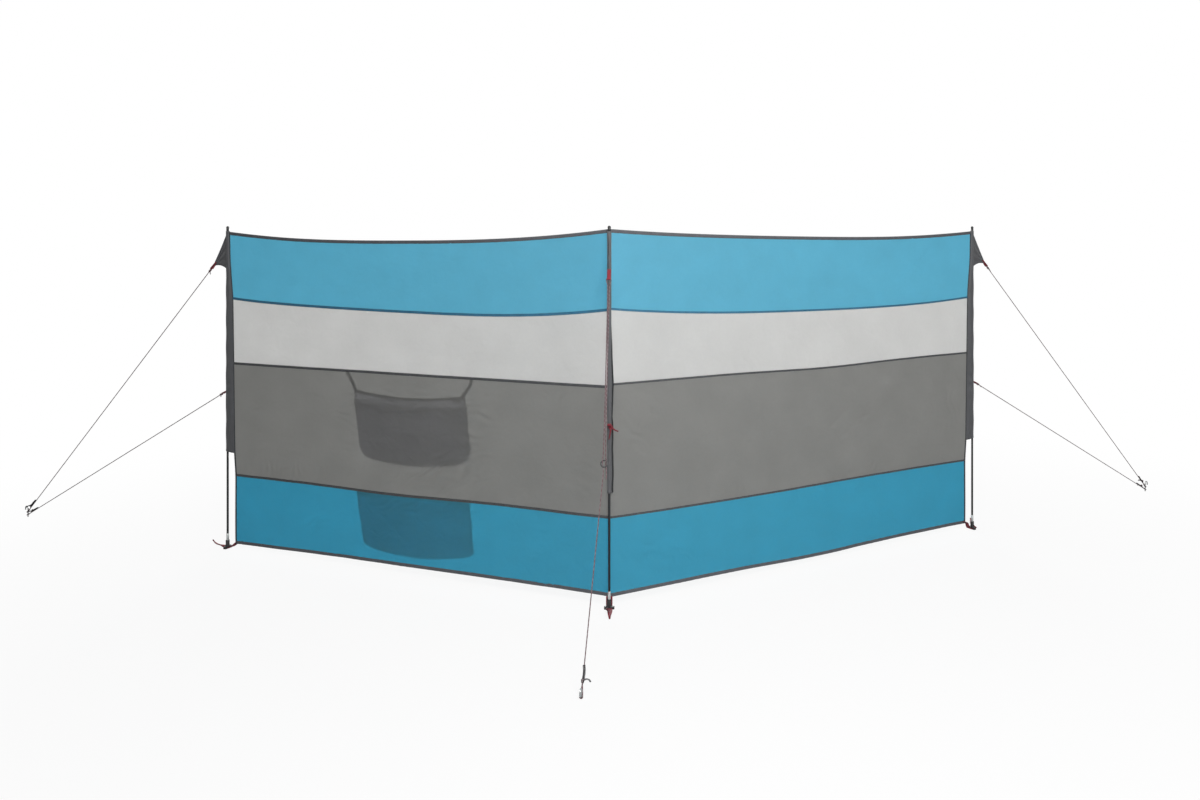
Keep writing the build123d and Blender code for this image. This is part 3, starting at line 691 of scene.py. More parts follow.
# The middle sleeve's side seam, whose folded edges are too thick to glow, stands out to the right as a narrow
# ridge. Its near-black is painted shadow, for the dark line of shade down the sleeve's right edge.
seam_z = np.linspace(sleeve_foot + 0.004, 1.20, 130)
seam_x = 0.0042 + 0.95 * middle_bulge(seam_z)
seam_path = rod_axis("middle") + np.stack((seam_x, 0 * seam_z + 0.0005, seam_z), axis=1)
seam_shadow_tape = tape("black_seam_edge_painted_shadow", "1c1d1f")
ridge = swept("middle_sleeve_seam_painted_shadow", seam_path, (1.0, 0, 0), box_outline(0.0062, 0.0016, 0.0006), seam_shadow_tape)
hold(ridge, "binding_tape")

# ---- Gussets ---------------------------------------------------------------------------------------
# A triangle of the same grey cloth stands out from the top of each sleeve and spreads the pull of the
# upper guy along the rod. Its edges are bound, the lower one is cut hollow, and folds run to its tip.
gusset_top = 1.436
gusset_foot = 1.282
gusset_tip_height = 1.304
gusset_reach = 0.076
gusset_tip = 0.012
gusset_start = 0.0066
gusset_thickness = 0.0009
# Narrow woven tape, duller than the cloth, so that the gusset's edges read as fine lines.
gusset_binding = tape("dark_grey_binding_tape", "4c4e51")


def gusset_edges(share):
    """Lower and upper edge of a gusset: reach and height at a share of the way to its tip."""
    reach = gusset_start + share * (gusset_reach - gusset_start)
    low_tip, high_tip = gusset_tip_height - gusset_tip / 2, gusset_tip_height + gusset_tip / 2
    low = gusset_foot + share * (low_tip - gusset_foot) + 0.007 * np.sin(math.pi * share)
    high = gusset_top + share * (high_tip - gusset_top) - 0.003 * np.sin(math.pi * share)
    return reach, low, high


def gusset_points(side, share, part):
    """Points of a gusset's cloth: share of the way to the tip, part of the way up."""
    across = np.cross(OUTWARD[side], up)
    reach, low, high = gusset_edges(share)
    z = low + part * (high - low)
    fold = 0.0011 * np.sin(2 * math.pi * (3.2 * part + 0.3)) * np.sin(math.pi * share**0.7)
    fold = fold + 0.0018 * np.sin(math.pi * share) * np.sin(math.pi * part)
    return rod_axis(side) + reach[..., None] * OUTWARD[side] + fold[..., None] * across + z[..., None] * up


for side in OUTWARD:
    share, part = np.meshgrid(np.linspace(0, 1, 22), np.linspace(0, 1, 34), indexing="ij")
    grid, places = gusset_points(side, share, part), (share * 0.07, part * 0.15)
    cloth = shell(f"{side}_gusset_cloth", grid, gusset_thickness, sleeve_cloth, places)
    along = np.linspace(0, 1, 24)
    bound = []
    for part, width in ((0.985, 0.0075), (0.02, 0.005)):  # along its upper and its lower edge
        edge, outline = gusset_points(side, along, 0 * along + part), box_outline(0.0022, width, 0.0007)
        bound.append(swept("edge", edge, np.cross(OUTWARD[side], up), outline, gusset_binding))
    hold(cloth, "sleeve_cloth", f"{side}_gusset")
    hold(join(f"{side}_gusset_binding", bound), "binding_tape")

# ---- Webbing loops ---------------------------------------------------------------------------------
# Loops of red polyester webbing are sewn over each gusset's tip and halfway down each sleeve. The
# guys pull the two layers together, so that they open only round the cord.
webbing_thickness = 0.0014
webbing_corner = 0.0005
loop_width = 0.014
# Ribbed polyester webbing, dyed through: deep red, dull, with cross ribs that catch the light.
red_webbing = tape("red_polyester_webbing", "741d29", 0.0022)
ring_place = np.array((-0.0125, -0.415, 0.657))
peg_distance = 1.350  # from an end rod to its guys' peg
peg_foot = {side: rod_axis(side) + peg_distance * OUTWARD[side] for side in ("left", "right")}
peg_foot["middle"] = np.array((-0.078, -0.732, 0.0))
upper_cord_height = 0.027  # of the cords on their pegs
lower_cord_height = 0.011


def loop_path(start, direction, across, length, lap, apart):
    """Closed path of a flat loop that starts a lap inside what it is sewn to."""
    square = np.cross(across, direction)
    end_radius = 0.0030
    out = np.linspace(-lap, length - end_radius, 9)
    half = apart + (end_radius - apart) * np.clip((out + lap / 2) / (length - end_radius), 0, 1) ** 1.5
    turn = np.linspace(math.pi / 2, -math.pi / 2, 9)[1:-1]
    flat = np.concatenate([out, length - end_radius + end_radius * np.cos(turn), out[::-1]])
    high = np.concatenate([half, end_radius * np.sin(turn), -half[::-1]])
    return start + flat[:, None] * direction + high[:, None] * square


gusset_tips, upper_aims, sleeve_starts = {}, {}, {}
gusset_loops, sleeve_loops = [], []
loop_outline = box_outline(loop_width, webbing_thickness, webbing_corner)
for side in OUTWARD:
    across = np.cross(OUTWARD[side], up)
    gusset_tips[side] = rod_axis(side) + gusset_reach * OUTWARD[side] + gusset_tip_height * up
    upper_aims[side] = ring_place if side == "middle" else peg_foot[side] + upper_cord_height * up
    pull = unit(upper_aims[side] - gusset_tips[side])
    path = loop_path(gusset_tips[side], pull, across, length=0.034, lap=0.009, apart=0.0014)
    gusset_loops.append(swept("loop", path, across, loop_outline, red_webbing, closed=True))
    drop = 0.006 if side == "middle" else 0.0
    sleeve_starts[side] = rod_axis(side) + 0.0070 * OUTWARD[side] + (loop_height - drop) * up
    pull = OUTWARD[side]
    if side != "middle":
        pull = unit(peg_foot[side] + lower_cord_height * up - sleeve_starts[side])
    path = loop_path(sleeve_starts[side], pull, across, length=0.024, lap=0.0, apart=0.0012)
    sleeve_loops.append(swept("loop", path, across, loop_outline, red_webbing, closed=True))

# The middle sleeve's loop carries no guy: the end of its webbing is knotted round it and hangs down
# in two narrow tails.
turn = np.linspace(0, 2 * math.pi, 16, endpoint=False)
cosine, sine = np.cos(turn), np.sin(turn)
KNOT_RINGS = (
    (0.0040 + 0.0080 * cosine, -0.0160 + 0.0025 * np.sin(2 * turn), 0.0075 * sine),
    (0.0055 + 0.0050 * cosine, -0.0175 + 0.0030 * cosine, 0.0085 * sine - 0.002),
)
TAILS = (
    ((0.004, -0.019, 0.002), (0.013, -0.021, -0.006), (0.023, -0.019, -0.014), (0.035, -0.013, -0.020)),
    ((0.003, -0.018, 0.000), (0.006, -0.021, -0.014), (0.003, -0.017, -0.032), (-0.001, -0.012, -0.050)),
)
tail_outline = box_outline(0.0050, webbing_thickness, webbing_corner)
knot_place = rod_axis("middle") + (loop_height - 0.014) * up
for ring in KNOT_RINGS:
    path = knot_place + np.stack(ring, axis=1)
    sleeve_loops.append(swept("knot", path, (0, 1.0, 0), tail_outline, red_webbing, closed=True))
for tail in TAILS:
    path = knot_place + np.array(tail)
    sleeve_loops.append(swept("tail", path, (0.7, 0.1, 0.7), tail_outline, red_webbing))
hold(join("gusset_webbing_loops", gusset_loops), "red_webbing", "gusset_loops")
hold(join("sleeve_webbing_loops", sleeve_loops), "red_webbing", "sleeve_loops")

# ---- Rods, caps, ferrules and feet -----------------------------------------------------------------
# Rods of pulled glass fibre in black resin, a moulded cap with a small ball on each, a drawn steel
# ferrule over each lower end, and a moulded nylon foot with a wing at each side of its socket.


def finish_material(name, colour, roughness, metallic=0.0, grain=200.0, stretch=1.0):
    """Hard material with a fine grain, drawn out upright where it is stretched."""
    material, tree = new_material(name)
    place = add_node(tree, "ShaderNodeTexCoord").outputs["Object"]
    drawn = add_node(tree, "ShaderNodeVectorMath", {0: place, 1: (1, 1, stretch)}, operation="MULTIPLY")
    fine = add_node(tree, "ShaderNodeTexNoise", {"Vector": drawn, "Scale": grain, "Detail": 4.0})
    broad = add_node(tree, "ShaderNodeTexNoise", {"Vector": drawn, "Scale": grain / 12, "Detail": 2.0})
    shade = add_node(tree, "ShaderNodeMapRange", {"Value": broad, "To Min": 0.7, "To Max": 1.3})
    tint = add_node(tree, "ShaderNodeVectorMath", {0: linear(colour)[:3], "Scale": shade}, operation="SCALE")
    dulling = {"Value": broad, "To Min": roughness * 0.8, "To Max": roughness * 1.2}
    rough = add_node(tree, "ShaderNodeMapRange", dulling)
    bump = add_node(tree, "ShaderNodeBump", {"Height": fine, "Strength": 0.25, "Distance": 0.0003})
    surface = {"Base Color": tint, "Roughness": rough, "Metallic": metallic, "Normal": bump}
    skin = add_node(tree, "ShaderNodeBsdfPrincipled", surface)
    add_node(tree, "ShaderNodeOutputMaterial", {"Surface": skin})
    return material


weld_distance = 0.000002
flat_angle = math.radians(0.5)  # between two faces, up to which they are one
sharp_angle = math.radians(35)  # between two faces, from which an edge is a real one


def rounded_copy(node, name, material, slot, edge=0.0):
    """Stands for a CAD node with its shape, with its sharp edges rounded as they are moulded."""
    piece = add_object(name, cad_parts[node].data.copy())
    piece.data.materials.clear()
    piece.data.materials.append(material)
    bpy.context.view_layer.objects.active = piece
    weld = piece.modifiers.new("weld", "WELD")
    weld.merge_threshold = weld_distance
    if edge:
        flats = piece.modifiers.new("flats", "DECIMATE")
        flats.decimate_type = "DISSOLVE"
        flats.angle_limit = flat_angle
        bevel = piece.modifiers.new("rounding", "BEVEL")
        bevel.width = edge
        bevel.segments = 2
        bevel.limit_method = "ANGLE"
        bevel.angle_limit = sharp_angle
        bevel.harden_normals = True
    mesh = bpy.data.meshes.new_from_object(piece.evaluated_get(bpy.context.evaluated_depsgraph_get()))
    piece.modifiers.clear()
    piece.data = mesh
    mesh.name = name
    for polygon in mesh.polygons:
        polygon.material_index = 0
    mesh.shade_smooth()
    if not edge:
        mesh.set_sharp_from_angle(angle=sharp_angle)
    return hold(piece, slot, node)


# Glass fibre pulled through black resin: nearly black, satin, with a fine grain along its length.
rod_resin = finish_material("black_glass_fibre_rod", "17181a", roughness=0.38, grain=900.0, stretch=0.03)
# Moulded nylon: black and half dull, with the faint texture of its mould.
nylon = finish_material("black_moulded_nylon", "1b1b1d", roughness=0.5)
# Drawn steel tube: bright grey metal with faint lines along its length.
drawn_steel = {"roughness": 0.32, "metallic": 0.9, "grain": 700.0, "stretch": 0.06}
ferrule_steel = finish_material("drawn_steel_tube", "c9cbca", **drawn_steel)
for side in OUTWARD:
    rounded_copy(f"{side}_pole", f"{side}_glass_fibre_rod", rod_resin, "pole_rod")
rounded_copy("pole_caps", "moulded_pole_caps", nylon, "black_plastic", edge=0.0005)
rounded_copy("pole_ferrules", "drawn_steel_ferrules", ferrule_steel, "ferrule_metal", edge=0.0004)
rounded_copy("pole_feet", "moulded_pole_feet", nylon, "black_plastic", edge=0.0012)

# ---- Foot straps -----------------------------------------------------------------------------------
# Red webbing sewn to the hem runs down through each foot, and its end is turned back and sewn into a
# loop for a ground peg. The loops are stiff enough to curl up, twist or stand on edge.
strap_width = 0.025


def smooth_path(points, step):
    """A smooth line through points, with a point about every step."""
    points = np.asarray(points, float)
    padded = np.concatenate(([2 * points[0] - points[1]], points, [2 * points[-1] - points[-2]]))
    line = []
    for k in range(len(points) - 1):
        a, b, c, d = padded[k : k + 4]
        count = max(2, math.ceil(np.linalg.norm(c[:3] - b[:3]) / step))
        t = np.linspace(0, 1, count, endpoint=False)[:, None]
        curve = 2 * b + (c - a) * t + (2 * a - 5 * b + 4 * c - d) * t**2 + (3 * b - a - 3 * c + d) * t**3
        line.append(0.5 * curve)
    return np.concatenate((*line, points[-1:]))


# Route of each strap: outward from the rod, aside, height, and turn about its line in degrees. Aside
# is to the sheltered side for the end straps and to the left for the middle one.
hem_corner = 0.052
STRAP_ROUTES = {
    "left": (
        (-hem_corner - 0.012, 0.0135, 0.034, -10),
        (-hem_corner + 0.004, 0.0105, 0.028, -16),
        (-0.032, 0.0030, 0.0140, -10),
        (-0.020, 0, 0.0064, 0),
        (-0.010, 0, 0.0042, 0),
        (0.010, 0, 0.0042, 0),
        (0.030, 0, 0.0080, -14),
        (0.048, 0, 0.0086, -22),
        (0.062, 0, 0.0100, -28),
        (0.074, 0, 0.0140, -38),
        (0.0835, 0, 0.0190, -50),
        (0.0852, 0.0010, 0.0205, -52),
        (0.0830, 0.0022, 0.0210, -50),
        (0.074, 0.0018, 0.0165, -38),
        (0.062, 0.0012, 0.0124, -28),
        (0.048, 0.0008, 0.0110, -22),
        (0.030, 0.0004, 0.0104, -14),
        (0.018, 0, 0.0080, -4),
    ),
    "middle": (
        (-0.0102, 0, 0.045, 0),
        (-0.0100, 0, 0.029, 0),
        (-0.0097, 0, 0.008, 0),
        (-0.0060, 0, 0.0042, 0),
        (0.010, 0, 0.0042, 0),
        (0.028, 0.0002, 0.0056, 6),
        (0.050, 0.0008, 0.0096, 28),
        (0.074, 0.0016, 0.0132, 58),
        (0.096, 0.0024, 0.0142, 74),
        (0.1060, 0.0024, 0.0145, 77),
        (0.1095, 0.0000, 0.0148, 78),
        (0.1060, -0.0024, 0.0151, 77),
        (0.096, -0.0024, 0.0152, 74),
        (0.074, -0.0016, 0.0152, 58),
        (0.050, -0.0008, 0.0126, 28),
        (0.028, -0.0002, 0.0086, 6),
        (0.018, 0, 0.0072, 0),
    ),
    "right": (
        (-hem_corner - 0.012, 0, 0.046, 0),
        (-hem_corner + 0.012, 0, 0.038, 0),
        (-0.026, 0, 0.0090, 0),
        (-0.010, 0, 0.0042, 0),
        (0.010, 0, 0.0042, 0),
        (0.0190, 0.0045, 0.0076, 28),
        (0.0270, 0.0180, 0.0138, 70),
        (0.0400, 0.0400, 0.0165, 88),
        (0.0565, 0.0620, 0.0170, 90),
        (0.0550, 0.0655, 0.0172, 90),
        (0.0515, 0.0635, 0.0174, 90),
        (0.0370, 0.0430, 0.0170, 88),
        (0.0250, 0.0260, 0.0150, 80),
    ),
}
strap_outline = box_outline(strap_width, webbing_thickness, webbing_corner)
for side, route in STRAP_ROUTES.items():
    aside = np.cross(OUTWARD[side], up) * (-1 if side == "right" else 1)
    line = smooth_path(route, 0.003)
    path = rod_axis(side) + line[:, :1] * OUTWARD[side] + line[:, 1:2] * aside + line[:, 2:3] * up
    turn = np.radians(line[:, 3:4])
    across = np.cos(turn) * aside + np.sin(turn) * up
    strap = swept(f"{side}_foot_webbing", path, across, strap_outline, red_webbing)
    hold(strap, "red_webbing", f"{side}_foot_strap")

# ---- Guys ------------------------------------------------------------------------------------------
# Braided polyester cord, 3.6 mm thick, pale with red tracer strands. Each guy is knotted round its
# webbing loop and pulled tight to a peg, where it turns back to its slider. The middle one is doubled
# between the gusset and its ring, and its spare end hangs below the ring.
cord_radius = 0.0018
fleck_pitch = 0.0165
plait_pitch = 0.0026
peg_wire = 0.0026
peg_loop_length = 0.032
peg_turn_radius = 0.0045
slider_hole = 0.0012  # from the guy's line to each of its two cords in the slider
gusset_eye = 0.0288  # from a gusset's tip to where its guy goes through the loop
sleeve_eye = 0.0188


def braided_cord(name, pale, red):
    """Braided cord: crossing strands, tracer strands that show as flecks, and a soft fuzz."""
    material, tree = new_material(name)
    place = add_node(tree, "ShaderNodeUVMap", uv_map="cloth")
    split = add_node(tree, "ShaderNodeSeparateXYZ", {0: place})
    around = 1 / (2 * math.pi * cord_radius)
    turns = add_node(tree, "ShaderNodeMath", {0: split.outputs[1], 1: around}, operation="MULTIPLY")

    def crossing(pitch, strands):
        """Vector of two phases: strands that wind right and strands that wind left."""
        runs = add_node(tree, "ShaderNodeMath", {0: split, 1: 1 / pitch}, operation="MULTIPLY")
        wound = add_node(tree, "ShaderNodeMath", {0: turns, 1: strands}, operation="MULTIPLY")
        right = add_node(tree, "ShaderNodeMath", {0: runs, 1: wound}, operation="ADD")
        left = add_node(tree, "ShaderNodeMath", {0: runs, 1: wound}, operation="SUBTRACT")
        return add_node(tree, "ShaderNodeCombineXYZ", {0: right, 1: left})

    strands = {"Vector": crossing(fleck_pitch, 2.0), "Color1": linear(pale), "Color2": linear(red)}
    flecks = add_node(tree, "ShaderNodeTexChecker", {**strands, "Scale": 1.0})
    spots = add_node(tree, "ShaderNodeTexCoord").outputs["Object"]
    worn = add_node(tree, "ShaderNodeTexNoise", {"Vector": spots, "Scale": 60.0, "Detail": 3.0})
    shade = add_node(tree, "ShaderNodeMapRange", {"Value": worn, "To Min": 0.6, "To Max": 1.4})
    tint = add_node(tree, "ShaderNodeVectorMath", {0: flecks, "Scale": shade}, operation="SCALE")
    plaits = add_node(tree, "ShaderNodeTexChecker", {"Vector": crossing(plait_pitch, 3.0), "Scale": 1.0})
    raised = {"Height": plaits.outputs["Fac"], "Strength": 0.4, "Distance": 0.0004}
    bump = add_node(tree, "ShaderNodeBump", raised)
    surface = {"Base Color": tint, "Roughness": 0.75, "Specular IOR Level": 0.3, "Normal": bump}
    skin = add_node(tree, "ShaderNodeBsdfPrincipled", {**surface, "Sheen Weight": 0.2})
    add_node(tree, "ShaderNodeOutputMaterial", {"Surface": skin})
    return material


# Braided polyester: the flecks are its tracer strands, and the plaits keep it rough. Both its colours are
# drawn darker as painted shade, since the cords hang nearer the front lamp than the cloth does.
guy_cord = braided_cord("braided_polyester_cord", "7a6f70", "5a3a40")


def rope(points, first):
    """Cord that follows a smooth line through points, carried along without twist."""
    path = smooth_path(points, 0.004)
    tangent = unit(np.gradient(path, axis=0))
    across = [unit(first - tangent[0] * (first @ tangent[0]))]
    for direction in tangent:
        across.append(unit(across[-1] - direction * (across[-1] @ direction)))
    circle = np.linspace(0, 2 * math.pi, 10, endpoint=False)
    outline = cord_radius * np.stack((np.cos(circle), np.sin(circle)), axis=1)
    return swept("cord", path, np.array(across[1:]), outline, guy_cord)


def helix(start, along, side_way, other_way, length, turns, radius):
    """Points of a coil about a line."""
    angle = np.linspace(0, 2 * math.pi * turns, round(turns * 8) + 1)[:, None]
    run = np.linspace(0, length, len(angle))[:, None]
    return start + run * along + radius * (np.cos(angle) * side_way + np.sin(angle) * other_way)


def peg_end(start, peg_point):
    """Points of a cord's far end: down to the peg, round it, and back up to the slider's hole."""
    along = unit(peg_point - start)
    across = unit(np.cross(along, up))
    rise = np.cross(across, along)
    wrap = (peg_wire + cord_radius + 0.0004) / math.hypot(along[0], along[1])
    top = peg_point - peg_loop_length * along
    ahead = [start + share * (top - start) for share in np.linspace(0.04, 0.96, 9)]
    there = [top, top + 0.012 * along - slider_hole * across]
    turn = np.linspace(math.pi / 2, -math.pi / 2, 7)[:, None]
    bend = peg_point + (wrap - peg_turn_radius) * along
    round_peg = bend + peg_turn_radius * (np.cos(turn) * along - np.sin(turn) * across)
    back = [top + 0.012 * along + slider_hole * across + 0.001 * rise, top - 0.001 * along + 0.0040 * rise]
    knot_start = top - 0.006 * along + 0.0078 * rise
    knot = helix(knot_start, -along, rise, across, length=0.006, turns=1.6, radius=0.0026)
    return [*ahead, *there, *round_peg, *back, *knot]


GUYS = {}
for side in ("left", "right"):
    pull = unit(upper_aims[side] - gusset_tips[side])
    GUYS[f"{side}_upper_guy"] = (gusset_tips[side] + gusset_eye * pull, upper_aims[side])
    aim = peg_foot[side] + lower_cord_height * up
    pull = unit(aim - sleeve_starts[side])
    GUYS[f"{side}_lower_guy"] = (sleeve_starts[side] + sleeve_eye * pull, aim)
for name, (start, aim) in GUYS.items():
    along = unit(aim - start)
    across = unit(np.cross(along, up))
    rise = np.cross(across, along)
    spare = start + 0.036 * along + 0.010 * across - 0.006 * rise
    knot = helix(start + 0.024 * along, -along, across, rise, length=0.013, turns=3.0, radius=0.0034)
    through_loop = [(0.004, 0.0030), (-0.0010, 0), (0.005, -0.0026), (0.016, 0), (0.030, 0)]
    eye_turn = [start + ahead * along + aside * across for ahead, aside in through_loop]
    cord = hold(rope([spare, *knot, *eye_turn, *peg_end(start, aim)], across), "guy_cord", name)
    cord.name = f"{name}_cord"

# The middle guy in one length: spare end, ring, gusset loop, ring again, and down to its peg.
to_right = np.array((1.0, 0, 0))
ring_along = unit(ring_place - gusset_tips["middle"])
ring_front = np.cross(ring_along, to_right)
eye_middle = gusset_tips["middle"] + 0.0290 * ring_along
middle_aim = peg_foot["middle"] + (lower_cord_height + 0.0012) * up
strand_gap = 0.0026  # from the guy's line to each of its two upper strands


def by_ring(along, right, front):
    """A point near the ring."""
    return ring_place + along * ring_along + right * to_right + front * ring_front


def by_eye(along, right):
    """A point near the gusset loop's eye."""
    return eye_middle + along * ring_along + right * to_right


def strand(way):
    """One of the two upper strands, halfway between ring and gusset, from below up."""
    low, high = by_ring(-0.030, way * strand_gap, 0), by_eye(0.040, way * strand_gap)
    return [low * (1 - share) + high * share for share in (0.2, 0.4, 0.6, 0.8)]


below = unit(middle_aim - ring_place)
middle_points = [
    by_ring(0.055, 0.0075, 0.004),
    by_ring(0.038, 0.0085, 0.003),
    by_ring(0.020, 0.0070, -0.0045),
    by_ring(0.009, 0.0060, -0.0045),
    by_ring(-0.004, 0.0055, 0.0030),
    by_ring(-0.014, 0.0062, 0.0045),
    by_ring(-0.030, 0.0044, 0.0010),
    *strand(1),
    by_eye(0.040, 0.0032),
    by_eye(0.012, 0.0085),
    by_eye(0.001, 0.0075),
    by_eye(0, 0),
    by_eye(0.001, -0.0075),
    by_eye(0.012, -0.0085),
    by_eye(0.040, -0.0032),
    *strand(-1)[::-1],
    by_ring(-0.030, -0.0044, 0.0010),
    by_ring(-0.014, -0.0062, 0.0045),
    by_ring(-0.004, -0.0055, 0.0030),
    by_ring(0.009, -0.0050, -0.0045),
    by_ring(0.020, -0.0030, -0.0042),
    ring_place + 0.045 * below,
    *peg_end(ring_place + 0.06 * below, middle_aim),
]
middle_cord = hold(rope(middle_points, ring_front), "guy_cord", "middle_guy")
middle_cord.name = "middle_guy_cord"

# ---- Sliders, ring and pegs ------------------------------------------------------------------------
# Black moulded sliders with a cord hole at each end and a curved arm, a black moulded ring, and
# pegs bent from bright galvanised wire, of which the part above ground is here.

# Moulded acetal: black, and smoother than the feet.
acetal = finish_material("black_moulded_acetal", "161618", roughness=0.42)
# Galvanised steel wire: a bright grey metal with a faint mottle.
peg_steel = finish_material("galvanised_steel_wire", "aeb0b0", roughness=0.36, metallic=0.85, grain=400.0)
rounded_copy("guy_sliders", "moulded_guy_sliders", acetal, "guy_plastic", edge=0.0010)
rounded_copy("guy_ring", "moulded_guy_ring", acetal, "guy_plastic")
rounded_copy("guy_pegs", "wire_guy_pegs", peg_steel, "peg_steel")

# ---- Pockets ---------------------------------------------------------------------------------------
# Two patch pockets on the sheltered side of the left bay, of the grey cloth: the upper one hangs
# slack from two straps below the middle seam, the lower one is sewn under the lower seam. Each has a
# back and a fuller front, sewn together at the sides and the foot, with a hem at its mouth.

# Taffeta that shows from windward only as a shadow, and folded cloth and webbing that throw darker
# lines round it.
pocket_cloth = taffeta("grey_pocket_taffeta", "dcdce3", mottle=0.06, through=0.88)
pocket_hem = tape("folded_pocket_hem", "4b4c4f")
dark_webbing = tape("dark_polyester_webbing", "2b2c2e", 0.0022)
pocket_thickness = 0.0008
# Near and far corner of the mouth, then of the foot, as places along and up the bay.
POCKETS = {
    "upper": ((0.676, 0.773), (1.240, 0.769), (0.654, 0.506), (1.216, 0.490)),
    "lower": ((0.650, 0.338), (1.222, 0.328), (0.632, 0.126), (1.188, 0.108)),
}
foot_rise = {"upper": 0.045, "lower": 0.014}  # of the foot's corners
foot_hang = {"upper": 0.026, "lower": 0.016}  # how far the foot hangs off the cloth
# Sag of the mouth, how far it lies lower than the corners, and the panel's depth.
POCKET_PANELS = {
    "upper": {"back": (0.022, 0.0, 0.0), "front": (0.006, 0.050, 0.030)},
    "lower": {"back": (0.000, 0.0, 0.0), "front": (0.014, 0.004, 0.024)},
}


def pocket_places(name, share, part, sag, drop):
    """Places along and up the bay: share of the way along the pocket, part of the way up."""
    near_top, far_top, near_foot, far_foot = (np.array(corner) for corner in POCKETS[name])
    top = near_top + share[..., None] * (far_top - near_top)
    foot = near_foot + share[..., None] * (far_foot - near_foot)
    corner = np.clip((np.abs(2 * share - 1) - 0.78) / 0.22, 0, 1)
    rise = foot_rise[name] * (1 - np.sqrt(1 - corner**2)) - 0.030 * np.sin(math.pi * share)
    foot_z = foot[..., 1] + rise
    top_z = top[..., 1] - sag * np.sin(math.pi * share) ** 0.8 - drop
    return foot[..., 0] + part * (top[..., 0] - foot[..., 0]), foot_z + part * (top_z - foot_z)


def pocket_grid(name, share, part, sag, drop, depth):
    """Points of a pocket panel. Its foot hangs clear of the cloth, and its front bellies out."""
    s, z = pocket_places(name, share, part, sag, drop)
    hang = 0.0030 + foot_hang[name] * (1 - part) ** 1.5
    full = (1 - np.abs(2 * share - 1) ** 5) * (1 - (1 - part) ** 4)
    slack = 0.0022 * np.sin(11 * share + 7 * part) * np.sin(2 * math.pi * (2.3 * part + 1.6 * share)) * full
    creases = 0.0012 * np.sin(2 * math.pi * (5.5 * part + 1.2 * share)) * near(share, 0.12)
    return on_cloth("left", s, z, -(hang + depth * full * (0.45 + 0.55 * part) + slack + creases)), (s, z)


sheltered = -to_windward("left")
hem_outline = box_outline(0.0022, 0.012, 0.0008)
rim_outline = box_outline(0.0030, 0.007, 0.0010)
share, part = np.meshgrid(np.linspace(0, 1, 64), np.linspace(0, 1, 34), indexing="ij")
mouth = np.linspace(0, 1, 80)
# Once round the sewn edge: down one side, along the foot and up the other side.
rim_share = np.concatenate([np.zeros(40), np.linspace(0, 1, 60), np.ones(40)])
rim_part = np.concatenate([np.linspace(1, 0.02, 40), np.full(60, 0.0), np.linspace(0.02, 1, 40)])
for name, corners in POCKETS.items():
    panels = []
    for face, shape in POCKET_PANELS[name].items():
        grid, places = pocket_grid(name, share, part, *shape)
        panels.append(shell(f"{name}_pocket_{face}", grid, pocket_thickness, pocket_cloth, places))
    back, front = panels
    hold(back, "pocket_cloth", "pocket_panels")
    hold(front, "pocket_cloth", "pocket_panels", "pocket_gussets")
    height = corners[0][1] - corners[2][1]
    hems = []
    for shape in POCKET_PANELS[name].values():
        line = pocket_grid(name, mouth, 0 * mouth + 0.985, *shape)[0]
        hems.append(swept("hem", line, sheltered, hem_outline, pocket_hem))
    rim = pocket_grid(name, rim_share, rim_part, 0.0, 0.0, 0.0)[0]
    hems.append(swept("edge", rim, sheltered, rim_outline, pocket_hem))
    hold(join(f"{name}_pocket_binding", hems), "binding_tape")

STRAP_LINES = (
    ((0.640, 0.848), (0.644, 0.832), (0.652, 0.812), (0.676, 0.783), (0.694, 0.762), (0.730, 0.750)),
    ((1.286, 0.850), (1.274, 0.832), (1.258, 0.808), (1.246, 0.783), (1.232, 0.762)),
)
straps = []
strap_outline = box_outline(webbing_thickness, 0.016, webbing_corner)
for line in STRAP_LINES:
    route = smooth_path(line, 0.006)
    path = on_cloth("left", route[:, 0], route[:, 1], -0.0045)
    straps.append(swept("strap", path, to_windward("left"), strap_outline, dark_webbing))
hold(join("pocket_webbing_straps", straps), "dark_webbing", "pocket_straps")

# ---- Stitches --------------------------------------------------------------------------------------
# Lockstitch in grey polyester thread: two rows along each seam and one along each binding, on both
# faces of the cloth. Real stitches are about 3 mm long; here there is one every 4 mm.
stitch_pitch = 0.004
stitch_length = 0.0032
thread_thickness = 0.0006
# Spun polyester thread, lighter than the tape it is sewn through, so that it reads as a pale dash.
thread = tape("grey_polyester_thread", "7d7f82", 0.001)


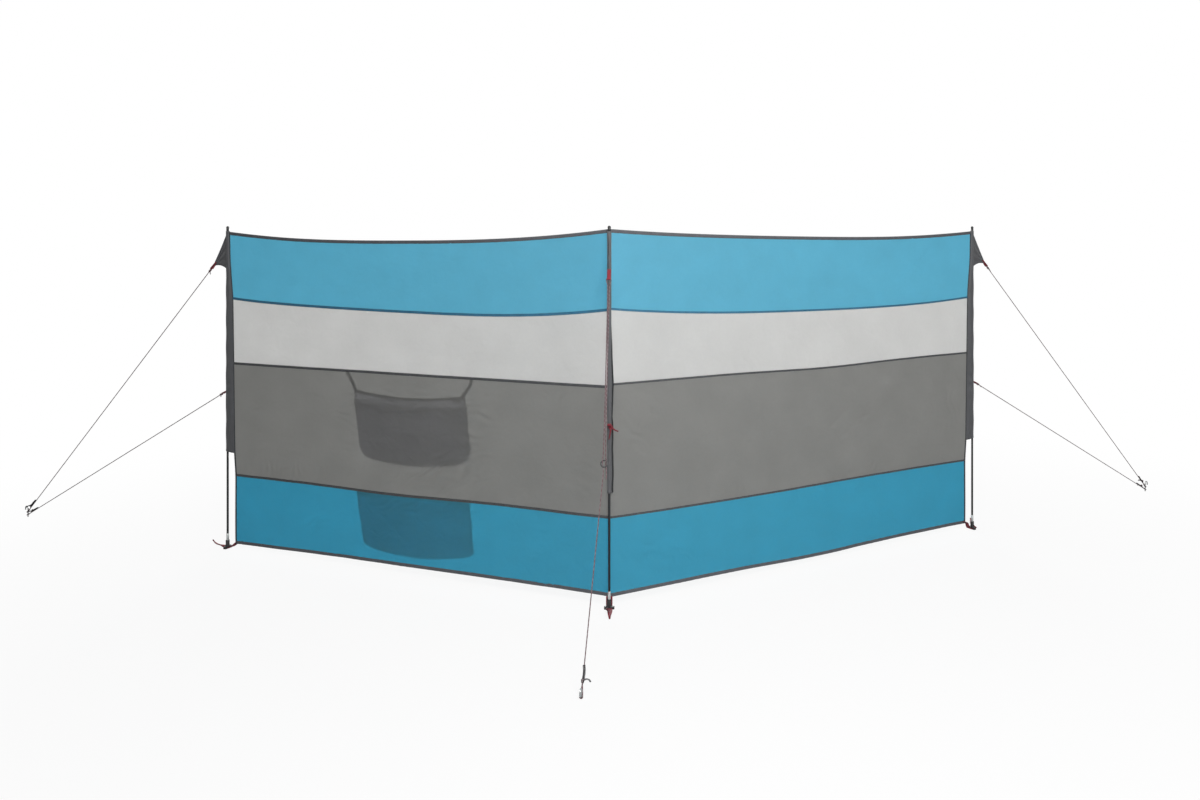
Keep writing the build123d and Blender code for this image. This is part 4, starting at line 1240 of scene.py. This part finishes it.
def stitch_tree():
    """Geometry nodes that lay a short stitch at every pitch along the lines of a mesh."""
    tree = bpy.data.node_groups.new("stitches", "GeometryNodeTree")
    tree.interface.new_socket("Lines", in_out="INPUT", socket_type="NodeSocketGeometry")
    for name in ("Pitch", "Stitch length", "Thread thickness"):
        tree.interface.new_socket(name, in_out="INPUT", socket_type="NodeSocketFloat")
    tree.interface.new_socket("Thread", in_out="INPUT", socket_type="NodeSocketMaterial")
    tree.interface.new_socket("Stitches", in_out="OUTPUT", socket_type="NodeSocketGeometry")
    given = tree.nodes.new("NodeGroupInput").outputs
    lines = add_node(tree, "GeometryNodeMeshToCurve", {"Mesh": given["Lines"]})
    spacing = {"Curve": lines, "Length": given["Pitch"]}
    points = add_node(tree, "GeometryNodeCurveToPoints", spacing, mode="LENGTH")
    bead = add_node(tree, "GeometryNodeMeshUVSphere", {"Segments": 4, "Rings": 2, "Radius": 0.5})
    thickness = given["Thread thickness"]
    size = add_node(tree, "ShaderNodeCombineXYZ", {0: thickness, 1: thickness, 2: given["Stitch length"]})
    laying = {"Points": points, "Instance": bead, "Rotation": points.outputs["Rotation"], "Scale": size}
    laid = add_node(tree, "GeometryNodeInstanceOnPoints", laying)
    solid = add_node(tree, "GeometryNodeRealizeInstances", {"Geometry": laid})
    threaded = add_node(tree, "GeometryNodeSetMaterial", {"Geometry": solid, "Material": given["Thread"]})
    add_node(tree, "NodeGroupOutput", {0: threaded})
    return tree


stitches = stitch_tree()


def stitched(name, lines):
    """Stitches along lines of points, as one plain mesh."""
    mesh = bpy.data.meshes.new(name)
    points, edges = [], []
    for line in lines:
        edges += [(k + len(points), k + 1 + len(points)) for k in range(len(line) - 1)]
        points += [tuple(p) for p in line]
    mesh.from_pydata(points, edges, [])
    piece = add_object(name, mesh)
    modifier = piece.modifiers.new("stitches", "NODES")
    modifier.node_group = stitches
    sizes = {"Pitch": stitch_pitch, "Stitch length": stitch_length, "Thread thickness": thread_thickness}
    values = {**sizes, "Thread": thread}
    for item in stitches.interface.items_tree:
        if item.name in values:
            modifier[item.identifier] = values[item.name]
    result = bpy.data.meshes.new_from_object(piece.evaluated_get(bpy.context.evaluated_depsgraph_get()))
    piece.modifiers.clear()
    piece.data = result
    result.name = name
    result.shade_smooth()
    return hold(piece, "binding_tape")


# Places of the rows: off a seam's middle as a share of its width, and in from the bound edges.
row_share = 0.28
level_row = 0.0120
upright_row = 0.0074
row_clear = 0.012  # where a row starts and stops, short of the cloth's ends
end_z = np.linspace(0.056, 1.436, 180)
for side in SIDES:
    rows = []
    for face in (1, -1):
        on_seam, on_binding = face * seam_thickness / 2, face * (binding_leaf / 2 + 0.0001)
        for line in SEAMS:
            for drop in (-row_share * seam_width[side], row_share * seam_width[side]):
                rows.append(level_path(side, line, drop, row_clear, row_clear, on_seam))
        rows.append(level_path(side, "top", level_row, row_clear, row_clear, on_binding))
        rows.append(level_path(side, "hem", -level_row, row_clear, row_clear, on_binding))
        rows.append(on_cloth(side, bay_length - edge_gap(end_z) - upright_row, end_z, on_binding))
    stitched(f"{side}_bay_stitches", rows)
